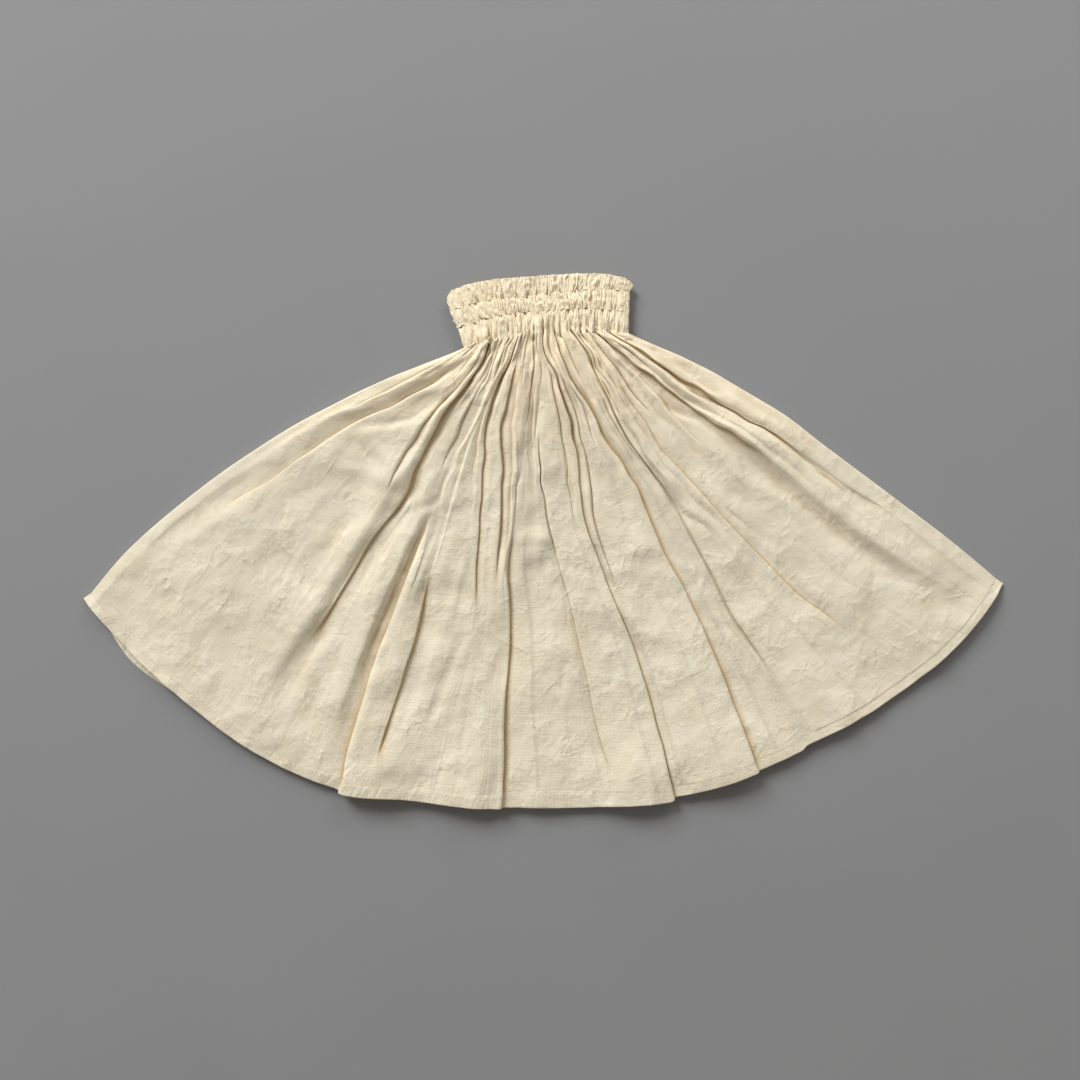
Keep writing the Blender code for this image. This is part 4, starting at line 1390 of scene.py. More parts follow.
    def grid(self, shares: Array) -> Array:
        """Work out the panel's points.

        Args:
            shares: the shares of the length at which its rows lie.

        Returns:
            The points in mm, row by row.
        """
        angles, heights, orders, _ = self.surface(shares, self.counts())
        share = shares[:, None]
        across = np.array([self.across_join(row, t) for row, t in zip(angles, shares)])
        near = self.fan.join_radius(angles) + self.seam_gap
        far = self.fan.hem(angles, self.column) - self.fan.hem(angles, "depth")
        radius = near + (far - near) * share
        if self.front:
            shift = self.relief.sideways(across, share) * self.inwards(angles)
            angles = angles + np.degrees(shift / radius)
        x, y = self.fan.plan(angles, radius)
        z = self.lifted(angles, heights, orders, share, self.relief.height(x, y, across, share))
        if self.front:
            sunk = 1 - smooth((share - self.top_share) / (self.seam_share - self.top_share))
            z = z - self.seam_dip * sunk * self.inwards(angles)
        return np.stack([x, y, z], axis=-1)

    def shares(self) -> Array:
        """Return the rows' shares of the length, closer together near the gathers."""
        u = np.linspace(0, 1, self.rows)
        return self.top_share * (1 - u) + self.crowding * u + (1 - self.crowding) * u * u

    def build(self, finish: "Cotton") -> bpy.types.Object:
        """Build the panel as a thin shell and dress it.

        Args:
            finish: the cloth's finish.

        Returns:
            The piece.
        """
        points = self.grid(self.shares())
        # painted shade: darker colour in the panel's valleys and its laps' crevices
        shades = self.surface(self.shares(), self.counts())[3]
        deep = np.maximum(painted_valley_shade(points, self.shade_reach, self.shade_depth), shades)
        piece = cloth_from_rows(self.name, points, deep, finish)
        thicken(piece, self.layout.wall)
        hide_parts(self.node)
        return piece


@dataclass(frozen=True)
class Hem:
    """A turned-up hem, a flattened tube of cloth from its row of stitching to its folded edge.

    Attributes: its thickness, how many of its columns stand to one of the panel's (finer), how high its
    puckers are and how wide the fine and the wide ones, how much of the panel's shade it takes, and its
    own section (outline), as shares of its depth with heights from its middle.
    """

    name: str
    node: str
    panel: Panel
    thick: float = 2.0
    finer: int = 3
    pucker: float = 0.8
    fine_width: float = 7.5
    wide_width: float = 13.0
    wide_start: float = 850.0
    seed: Seed = Seed.HEM_PUCKERS
    shade: float = 0.4
    outline: tuple[tuple[float, float], ...] = (
        (0.0, 0.0), (0.04, -0.12), (0.12, 0.3), (0.24, 0.4), (0.42, 0.4), (0.62, 0.4), (0.8, 0.38),
        (0.93, 0.42), (0.985, 0.18), (1.0, -0.3), (0.985, -0.8),
        (0.9, -1.0), (0.5, -1.0), (0.15, -1.0), (0.0, -0.6),
    )

    def edge_rows(self) -> tuple[Array, ...]:
        """Read the panel's last section at closer columns.

        Returns:
            Its angles, heights, least heights and shades.
        """
        rows = self.panel.surface(np.array([1.0]), self.panel.counts())
        stations = np.arange(rows[0].shape[1])
        fine = np.linspace(0, stations[-1], self.finer * stations[-1] + 1)
        return tuple(np.interp(fine, stations, row[0]) for row in rows)

    def lifted(self, angles: Array, heights: Array, orders: Array, x: Array, y: Array) -> Array:
        """Put the panel's relief on the hem's cloth.

        Args:
            angles: its angles.
            heights: its heights before the relief.
            orders: its least heights.
            x: its places across, in mm.
            y: its places up, in mm.

        Returns:
            Its heights.
        """
        panel, share = self.panel, np.ones((1, 1))
        relief = panel.relief.height(x, y, panel.across_join(angles, 1.0), share)
        return panel.lifted(angles[None], heights[None], orders[None], share, relief[None])[0]

    def rows(self) -> Array:
        """Work out the hem's points.

        Returns:
            The points in mm, a row for each point of its section.
        """
        panel, fan = self.panel, self.panel.fan
        angles, heights, orders, _ = self.edge_rows()
        depth = fan.hem(angles, "depth")
        stitched = fan.hem(angles, panel.column) - depth
        run = run_along(np.stack(fan.plan(angles, stitched), axis=1))
        rows = []
        for share, rise in self.outline:
            x, y = fan.plan(angles, stitched + depth * share)
            z = self.lifted(angles, heights, orders, x, y)
            if rise > -0.5:
                wave = gather_wave(run - WAVE_REACH + 5 * share, self.fine_width, self.seed)
                wave = wave + gather_wave(run - self.wide_start, self.wide_width, self.seed + 1)
                pinch = self.pucker * (1 - 0.5 * share) * wave * float(smooth(share / 0.1))
                z = z + panel.layout.wall / 2 + rise * self.thick * 0.5 + pinch
            else:
                z = z - 0.6 + rise * self.thick * 0.5
            rows.append(np.stack([x, y, np.maximum(z, 0.15 if rise < -0.5 else 0.9)], axis=1))
        return np.array(rows)

    def stitch_path(self) -> Array:
        """Return the row of stitching's path on the hem, in mm."""
        rows = self.rows()
        return blend(rows[1], rows[2], 0.5) + np.array([0.0, 0.0, 0.12])

    def build(self, finish: "Cotton") -> bpy.types.Object:
        """Build the hem as a closed tube with its two ends filled, and dress it.

        Args:
            finish: the cloth's finish.

        Returns:
            The piece.
        """
        rows = self.rows()
        # painted shade: darker colour in the hem's valleys and its folds' crevices
        deep = np.maximum(painted_valley_shade(rows, 5, 1.6), self.shade * self.edge_rows()[3])
        piece = cloth_from_rows(self.name, rows, deep, finish, closed=True)
        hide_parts(self.node)
        return piece


@dataclass(frozen=True)
class BandLine:
    """A row of stitching, or the top edge of the waist: its two ends, its bow and its height."""

    left: tuple[float, float]
    right: tuple[float, float]
    bow: float
    rise: float
    flatness: float = 0.8

    def at(self, across: Array) -> Array:
        """Return x and y at shares of the width."""
        x, y = (blend(a, b, across) for a, b in zip(self.left, self.right))
        return np.stack([x, y + self.bow * (1 - np.abs(2 * across - 1) ** 3) ** self.flatness], axis=-1)


@dataclass(frozen=True)
class Casing:
    """One of the three elastic casings: a flattened ring of cloth, puffed and gathered between stitching.

    Attributes: its number from the top, its rows and columns, how far it puffs out, how deep its gathers
    are and how much of them is left at the stitching (stitched), how deep its pits are and how far the
    last casing's lower edge sinks into the skirt (dip), from which share of its height on, how far it
    leans out at its ends (lean), and how much each row of stitching strays (calm).
    """

    index: int
    layout: Layout
    skirt: Panel
    rows: int = 15
    front_columns: int = 720
    back_columns: int = 130
    back_puff: float = 0.25
    back_gather: float = 0.6
    back_width: float = 8.0
    puff: float = 0.6
    gather: float = 5.0
    stitched: float = 0.85
    pit: float = 10.0
    dip: float = 2.2
    dip_starts: float = 0.55
    swell_power: float = 0.6
    lean: float = 0.8
    floor_level: float = 0.7
    wall: float = 1.0
    width: float = 280.0
    calm: tuple[float, ...] = (0.35, 1.0, 1.2, 1.0)
    shade_reach: int = 6
    shade_depth: float = 1.7
    lines: tuple[BandLine, ...] = (
        BandLine((-143.5, 358.0), (131.5, 377.0), 24.5, 6.4, 0.42),
        BandLine((-137.0, 340.0), (126.5, 369.0), 10.5, 7.2),
        BandLine((-126.5, 314.5), (126.0, 336.0), 14.0, 7.8),
    )

    @property
    def last(self) -> bool:
        """Return whether it is the casing that the skirt leaves from."""
        return self.index == len(self.lines) - 1

    def line(self, index: int, across: Array) -> Array:
        """Work out where a stitched line runs, the one after the last being the join itself.

        Args:
            index: the line's number, from the top edge.
            across: shares of the width.

        Returns:
            Its points x and y, in mm.
        """
        if index < len(self.lines):
            return self.lines[index].at(across)
        fan = self.layout.fan
        angles = np.linspace(fan.edge("left", 0.0), fan.edge("right", 0.0), 200)
        x, y = fan.plan(angles, fan.join_radius(angles))
        place = (x - x[0]) / (x[-1] - x[0])
        return np.stack([np.interp(across, place, x), np.interp(across, place, y)], axis=-1)

    def rise(self, index: int) -> float:
        """Return how far the waist stands off its middle at a stitched line."""
        return self.lines[index].rise if index < len(self.lines) else self.layout.band_rise

    def powered(self, values: Array, power: float) -> Array:
        """Return values raised to a power with their signs kept."""
        return np.sign(values) * np.abs(values) ** power

    def around(self) -> tuple[Array, Array, Array]:
        """Go once round the flattened ring.

        Returns:
            The shares of the width, the heights from -1 to 1, and the normal's two parts.
        """
        turn = np.concatenate([
            self.even_turns(self.front_columns), -self.even_turns(self.back_columns)[::-1] - 1e-9,
        ])
        power = 2 / self.layout.ring_power
        c, s = np.cos(turn), np.sin(turn)
        out = np.stack([self.powered(c, 2 - power), self.powered(s, 2 - power)], axis=1)
        out /= np.maximum(np.linalg.norm(out, axis=1, keepdims=True), 1e-6)
        return 0.5 + 0.5 * self.powered(c, power), self.powered(s, power), out

    def even_turns(self, count: int) -> Array:
        """Divide the ring's upper half into even steps.

        Args:
            count: how many steps there are.

        Returns:
            The turns from the left end over the middle to just before the right one.
        """
        turn = np.linspace(math.pi, 0, 4000)
        power = 2 / self.layout.ring_power
        height = np.abs(np.sin(turn)) ** power * 2 * self.layout.band_rise / self.width
        run = run_along(np.stack([self.powered(np.cos(turn), power), height], axis=1))
        return np.interp(np.linspace(0, run[-1], count, endpoint=False), run, turn)

    def wobble(self, index: int, x: Array) -> Array:
        """Return how far a stitched line, or the top edge, strays up or down between gathers."""
        short = plane_noise(x / 4.2, index * 7.3, Seed.STITCH_FINE_WOBBLE)
        long = plane_noise(x / 12, index * 3.1, Seed.STITCH_WOBBLE)
        return self.calm[index] * (1.3 * short + 1.3 * long)

    def grid(self) -> Array:
        """Work out the casing's points.

        Returns:
            The points in mm, row by row from its upper stitching to its lower.
        """
        across, height, out = self.around()
        upper, lower = self.line(self.index, across), self.line(self.index + 1, across)
        run = run_along(np.stack([upper[:, 0], self.layout.band_rise * height], axis=1))
        middle = self.front_columns // 2
        run += upper[middle, 0] - run[middle]
        upper[:, 1] += self.wobble(self.index, run)
        lower[:, 1] += self.wobble(self.index + 1, run)
        front = height >= 0
        skirt = self.skirt.grid(np.array([self.skirt.seam_share]))[0] if self.last else None
        rows = []
        for down in np.linspace(0, 1, self.rows):
            place = upper + (lower - upper) * down
            x = place[:, 0]
            swell = math.sin(math.pi * down) ** self.swell_power
            swell = max(swell, down) if self.last else swell
            along = np.where(front, x, run) if self.last else run
            wave = pucker_wave(along, self.index + down, Seed.PUCKERS + self.index)
            behind = self.back_gather * gather_wave(run, self.back_width, Seed.SKIRT_PUCKERS)
            wave = np.where(front, wave, behind)
            hole = self.hole(run, down) * front
            proud = self.puff * swell * np.where(front, 1.0, self.back_puff)
            proud += self.gather * blend(self.stitched, 1.0, swell) * wave - hole
            rise = blend(self.rise(self.index), self.rise(self.index + 1), down)
            z = self.layout.band_middle + rise * height + proud * out[:, 1]
            if self.last:
                ragged = 0.25 + 1.5 * np.maximum(0, plane_noise(x / 3.4, 0.5, Seed.RAGGED_EDGE))
                kept = 0.6 * self.gather * wave * (1 - smooth((down - 0.5) / 0.5)) - 0.5 * hole
                kept -= self.dip * ragged * smooth((down - self.dip_starts) / (1 - self.dip_starts))
                z = blend(z, self.skirt_top(skirt, x, z, front) + kept, smooth((down - 0.2) / 0.6))
            x = x + proud * out[:, 0] * self.lean
            rows.append(np.stack([x, place[:, 1], np.maximum(z, self.floor_level)], axis=1))
        return np.array(rows)

    def hole(self, run: Array, down: float) -> Array:
        """Work out the small ragged puckers beside the stitching.

        Args:
            run: places round the casing, in mm.
            down: the share of the way from its upper stitching to its lower.

        Returns:
            How deep they are, in mm.
        """
        line = self.index + round(down)
        if line == 0:
            return np.zeros_like(run)
        spread = 0.07 + 0.11 * (1 + plane_noise(run / 4.0, line + 0.2, Seed.HOLE_SPREAD + round(down)))
        close = np.exp(-((min(down, 1 - down) / spread) ** 2))
        return self.pit * np.maximum(0, plane_noise(run / 2.6, line + 0.5, Seed.HOLES) - 0.12) * close

    def skirt_top(self, skirt: Array, x: Array, z: Array, front: Array) -> Array:
        """Return the height of the skirt's own cloth where it leaves the last stitching.

        Args:
            skirt: the skirt's points just below the stitching.
            x: places across the casing.
            z: the casing's own heights there.
            front: which places are on the front.

        Returns:
            The skirt's heights, and the casing's own at the ends and on the back.
        """
        bins = np.arange(skirt[:, 0].min(), skirt[:, 0].max(), 0.5)
        high = np.array([skirt[np.abs(skirt[:, 0] - b) < 0.8, 2].max(initial=0.0) for b in bins])
        high = np.where(high > 0, high, np.interp(bins, bins[high > 0], high[high > 0]))
        inside = front & (x > bins[0] + 4) & (x < bins[-1] - 4)
        return np.where(inside, np.interp(x, bins, high), z)

    def build(self, finish: "Cotton") -> bpy.types.Object:
        """Build the casing as a ring of cloth with a wall, and dress it.

        Args:
            finish: the cloth's finish.

        Returns:
            The piece.
        """
        points = self.grid()
        points = np.concatenate([points, points[:, :1]], axis=1)
        # painted shade: darker colour in the casing's valleys
        where, deep = CASINGS[self.index], painted_valley_shade(points, self.shade_reach, self.shade_depth)
        piece = cloth_from_rows(f"casing_{where}", points, deep, finish, ring=True)
        thicken(piece, self.wall)
        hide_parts(f"front_casing_{where}", f"back_casing_{where}")
        return piece


@dataclass(frozen=True)
class Stitching:
    """A row of machine stitches: short threads that dip into the cloth at both ends. Sizes in mm."""

    name: str
    length: float = 2.8
    pitch: float = 3.8
    width: float = 0.55
    height: float = 0.5
    shoulders: tuple[float, float] = (0.22, 0.78)
    flattest: float = 0.7

    def build(self, path: Array, finish: "Thread") -> bpy.types.Object:
        """Lay the stitches along a path on the cloth.

        Args:
            path: the path's points, in mm.
            finish: the thread's finish.

        Returns:
            The piece, one mesh.
        """
        run = run_along(path)
        vertices, faces = [], []
        up = np.array([0.0, 0.0, self.height])
        for start in np.arange(self.pitch, run[-1] - self.pitch, self.pitch):
            places = (start, start + self.length)
            head, tail = (np.array([np.interp(at, run, column) for column in path.T]) for at in places)
            along = tail - head
            flat = math.hypot(along[0], along[1])
            if flat < self.flattest * self.length or along[0] < 0:
                continue
            side = np.array([-along[1], along[0], 0.0]) / flat * self.width / 2
            first = len(vertices)
            vertices.append(head)
            for share in self.shoulders:
                middle = head + share * along
                vertices += [middle + side, middle + up, middle - side, middle - 0.3 * up]
            vertices.append(tail)
            for k in range(4):
                a, b = first + 1 + k, first + 1 + (k + 1) % 4
                faces += [(first, b, a), (a, b, b + 4, a + 4), (first + 9, a + 4, b + 4)]
        mesh = bpy.data.meshes.new(self.name)
        mesh.from_pydata((np.array(vertices) * MM).tolist(), [], faces)
        return placed(mesh, finish)


def placed(mesh: bpy.types.Mesh, finish: "Cotton | Thread") -> bpy.types.Object:
    """Make a mesh a smooth piece of the skirt.

    Args:
        mesh: the mesh, whose name the piece takes.
        finish: its finish.

    Returns:
        The piece.
    """
    mesh.materials.append(finish.material())
    mesh.shade_smooth()
    piece = bpy.data.objects.new(mesh.name, mesh)
    bpy.context.scene.collection.objects.link(piece)
    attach(piece, BODY)
    return piece


def painted_valley_shade(points: Array, reach: int, depth: float, wide: float = 2.5, shallow: float = 0.25) -> Array:
    """Return how deep in a valley of the cloth each place lies, from 0 to 1: the share of painted shade its
    colour gets.

    Args:
        points: the rows of points, in mm.
        reach: how many columns on each side make up a valley's surroundings.
        depth: how far below them, in mm, the bottom of a full valley lies.
        wide: the spacing of columns, in mm, past which a valley has to be deeper.
        shallow: the share of the depth that doesn't count.

    Returns:
        The share for each place.
    """
    steps = np.linalg.norm(np.diff(points, axis=1, append=points[:, -1:]), axis=2)
    around, spacing = (
        np.mean([padded[:, i:i + points.shape[1]] for i in range(2 * reach + 1)], axis=0)
        for padded in (np.pad(a, ((0, 0), (reach, reach)), mode="edge") for a in (points[..., 2], steps))
    )
    return np.clip((around - points[..., 2]) / (depth * np.maximum(1.0, spacing / wide)) - shallow, 0.0, 1.0)


def cloth_from_rows(name: str, rows: Array, painted_shade: Array, finish: "Cotton", closed: bool = False,
                    ring: bool = False) -> bpy.types.Object:
    """Make a mesh through rows of points, with the cloth's own widths and lengths as its UV map.

    Args:
        name: the piece's name.
        rows: its points in mm, row by row.
        painted_shade: how deep in a valley each point lies, from 0 to 1.
        finish: the cloth's finish.
        closed: whether the last row joins the first, and the two ends are filled.
        ring: whether the last column is the first one again.

    Returns:
        The piece.
    """
    count, columns = rows.shape[:2]
    across = np.linalg.norm(np.diff(rows, axis=1), axis=2)
    across = np.concatenate([np.zeros((count, 1)), np.cumsum(across, axis=1)], axis=1)
    u = (across / across[:, -1:]).mean(axis=0) * across[:, -1].max() * MM
    v = np.concatenate([[0.0], np.cumsum(np.linalg.norm(np.diff(rows, axis=0), axis=2).mean(axis=1))]) * MM
    used = columns - 1 if ring else columns
    index = np.arange(count * used).reshape(count, used)
    faces, corners = [], []
    for r in range(count if closed else count - 1):
        below = (r + 1) % count
        for c in range(columns - 1):
            d = (c + 1) % used if ring else c + 1
            faces.append((index[r, c], index[below, c], index[below, d], index[r, d]))
            corners += [(r, c), (below, c), (below, c + 1), (r, c + 1)]
    if closed:
        faces += [tuple(index[::-1, 0]), tuple(index[:, -1])]
        corners += [(r, 0) for r in reversed(range(count))] + [(r, columns - 1) for r in range(count)]
    mesh = bpy.data.meshes.new(name)
    mesh.from_pydata((rows[:, :used].reshape(-1, 3) * MM).tolist(), [], faces)
    row, column = np.array(corners).T
    layer = mesh.uv_layers.new(name="cloth")
    layer.data.foreach_set("uv", np.stack([u[column], v[row]], axis=1).astype(np.float32).ravel())
    # the painted shade that the material mixes into the cloth's colour
    valley = mesh.attributes.new("painted_shade", "FLOAT", "POINT")
    valley.data.foreach_set("value", painted_shade[:, :used].astype(np.float32).ravel())
    piece = placed(mesh, finish)
    if closed:
        for face in list(mesh.polygons)[-2:]:
            face.use_smooth = False
        for edge in mesh.edges:
            a, b = (vertex // used for vertex in edge.vertices)
            edge.use_edge_sharp = a == b and a in (0, count - 1)
    return piece


def thicken(piece: bpy.types.Object, wall: float) -> None:
    """Give an open cloth its wall, evenly on both sides, with crisp cut edges.

    Args:
        piece: the cloth.
        wall: how thick it gets, in mm.
    """
    mesh = piece.data
    open_faces = len(mesh.polygons)
    shell = piece.modifiers.new("wall", "SOLIDIFY")
    shell.thickness, shell.offset = wall * MM, 0.0
    bpy.ops.object.select_all(action="DESELECT")
    bpy.context.view_layer.objects.active = piece
    piece.select_set(True)
    bpy.ops.object.modifier_apply(modifier=shell.name)
    mesh = piece.data
    rim = len(mesh.polygons) - 2 * open_faces
    for face in list(mesh.polygons)[-rim:]:
        face.use_smooth = False
        for corner in face.loop_indices:
            mesh.edges[mesh.loops[corner].edge_index].use_edge_sharp = True


class Graph:
    """A new material's nodes, each joined to what goes into it as it is added."""

    def __init__(self, name: str, roughness: float) -> None:
        """Make the material.

        Args:
            name: its name.
            roughness: its roughness.
        """
        self.material = bpy.data.materials.new(name)
        self.material.use_nodes = True
        self.tree = self.material.node_tree
        self.shader = self.tree.nodes["Principled BSDF"]
        self.fill(self.shader, {"Roughness": roughness})

    def fill(self, node: bpy.types.Node, inputs: dict) -> None:
        """Set a node's inputs.

        Args:
            node: the node.
            inputs: a socket to link or a value, by the inputs' names or numbers.
        """
        for key, value in inputs.items():
            if isinstance(value, Socket):
                self.tree.links.new(value, node.inputs[key])
            else:
                node.inputs[key].default_value = value

    def add(self, kind: str, inputs: dict, output: int | str = 0, **settings: str) -> Socket:
        """Add a node.

        Args:
            kind: its type, without "ShaderNode".
            inputs: what goes into it, by the inputs' names or numbers.
            output: the name or number of the output that is wanted.
            settings: its other settings.

        Returns:
            That output.
        """
        node = self.tree.nodes.new(f"ShaderNode{kind}")
        for key, value in settings.items():
            setattr(node, key, value)
        self.fill(node, inputs)
        return node.outputs[output]

    def maths(self, operation: str, a: Socket, b: Socket | float) -> Socket:
        """Return the result of a sum, product or the like of two values."""
        return self.add("Math", {0: a, 1: b}, operation=operation)

    def times(self, a: Socket, b: Socket | float) -> Socket:
        """Return the product of two values."""
        return self.maths("MULTIPLY", a, b)

    def rest(self, value: Socket) -> Socket:
        """Return 1 less a value, or 0 where that is negative."""
        return self.maths("MAXIMUM", self.maths("SUBTRACT", self.times(value, -1.0), -1.0), 0.0)

    def between(self, value: Socket, start: float, end: float) -> Socket:
        """Add a soft step.

        Args:
            value: what it goes by.
            start: the value where it is 0.
            end: the value where it is 1.

        Returns:
            The step.
        """
        limits = {"From Min": min(start, end), "From Max": max(start, end)}
        steps = {"To Min": float(start > end), "To Max": float(start < end)}
        inputs = {"Value": value, **limits, **steps}
        return self.add("MapRange", inputs, "Result", interpolation_type="SMOOTHSTEP")

    def noise(self, place: Socket, scale: Triple, detail: float) -> Socket:
        """Return a noise that is stretched by a scale for each direction."""
        stretched = self.add("Mapping", {"Scale": scale, "Vector": place})
        settings = {"Vector": stretched, "Scale": 1.0, "Detail": detail, "Distortion": 0.3}
        return self.add("TexNoise", settings, "Fac")

    def mix(self, share: Socket, a: Socket, b: Colour, blend_type: str = "MIX") -> Socket:
        """Return a mix of two colours."""
        return self.add("Mix", {0: share, 6: a, 7: (*b, 1)}, 2, data_type="RGBA", blend_type=blend_type)

    def ramp(self, value: Socket, low: Colour, high: Colour, start: float = 0.0, end: float = 1.0) -> Socket:
        """Add a ramp between two colours.

        Args:
            value: what it goes by.
            low: the colour up to the start.
            high: the colour from the end on.
            start: the value where the ramp starts.
            end: the value where it ends.

        Returns:
            The colour.
        """
        output = self.add("ValToRGB", {"Fac": value}, "Color")
        stops = output.node.color_ramp.elements
        stops[0].position, stops[0].color = start, (*low, 1)
        stops[1].position, stops[1].color = end, (*high, 1)
        return output

    def cells(self, place: Socket, size: float, bend: float, detail: float, sway: float,
              tall: float) -> tuple[Socket, bpy.types.Node]:
        """Divide the cloth into uneven cells whose borders are bent a little.

        Args:
            place: where the cloth is.
            size: how far apart the cells are, in mm.
            bend: how many bends there are to a cell.
            detail: the bends' detail.
            sway: how far the borders are bent, in cells.
            tall: how many cells there are up the cloth to one across it.

        Returns:
            Where in the pattern the cloth is, and the cells' node.
        """
        size *= MM
        bent = self.add("TexNoise", {"Scale": bend / size, "Detail": detail, "Vector": place}, "Color")
        moved = self.add("VectorMath", {0: bent, 1: (sway * size,) * 3, 2: place}, operation="MULTIPLY_ADD")
        flat = self.add("VectorMath", {0: moved, 1: (1 / size, tall / size, 0.0)}, operation="MULTIPLY")
        return flat, self.add("TexVoronoi", {"Scale": 1.0, "Vector": flat}).node

    def crinkle(self, place: Socket, size: float, tilt: float) -> Socket:
        """Add crumpling: uneven facets that meet in crisp straight ridges, stronger in some patches.

        Args:
            place: where the cloth is.
            size: how far apart the ridges are, in mm.
            tilt: how steep the facets are.

        Returns:
            Their height, in mm.
        """
        cells = self.cells(place, size, 0.6, 1.0, 1.6, 0.7)[1]
        patch = self.add("TexNoise", {"Scale": 0.22 / (size * MM), "Vector": place}, "Fac")
        share = self.times(self.maths("SUBTRACT", patch, 0.36), 3.2)
        return self.times(self.times(cells.outputs["Distance"], share), tilt * size)

    def crease_marks(self, place: Socket, size: float, width: float) -> Socket:
        """Add short straight creases, one to a patch of cloth and each in its own direction.

        Args:
            place: where the cloth is.
            size: how far apart the creases are, in mm.
            width: how wide they are, in mm.

        Returns:
            Their height, from -1 to 1.
        """
        flat, cells = self.cells(place, size, 0.5, 0.0, 0.5, 1.0)
        local = self.add("VectorMath", {0: flat, 1: cells.outputs["Position"]}, operation="SUBTRACT")
        chance = self.add("SeparateColor", {"Color": cells.outputs["Color"]}).node.outputs
        angle = self.times(chance["Red"], FULL_TURN)
        turned = self.add("VectorRotate", {"Vector": local, "Angle": angle}, rotation_type="Z_AXIS")
        parts = self.add("SeparateXYZ", {"Vector": turned}).node.outputs
        ridge = self.rest(self.times(self.maths("ABSOLUTE", parts["Y"], 0.0), size / width))
        fade = self.rest(self.times(self.maths("ABSOLUTE", parts["X"], 0.0), 2.6))
        up = self.times(self.maths("SUBTRACT", chance["Green"], 0.45), 2.0)
        return self.times(self.times(ridge, fade), up)

    def threads(self, place: Socket, pitch: float, direction: str, inputs: dict | None = None) -> Socket:
        """Add threads that lie side by side."""
        waves = {"Scale": WAVE_PITCH / pitch, "Vector": place, **(inputs or {})}
        return self.add("TexWave", waves, "Fac", bands_direction=direction)


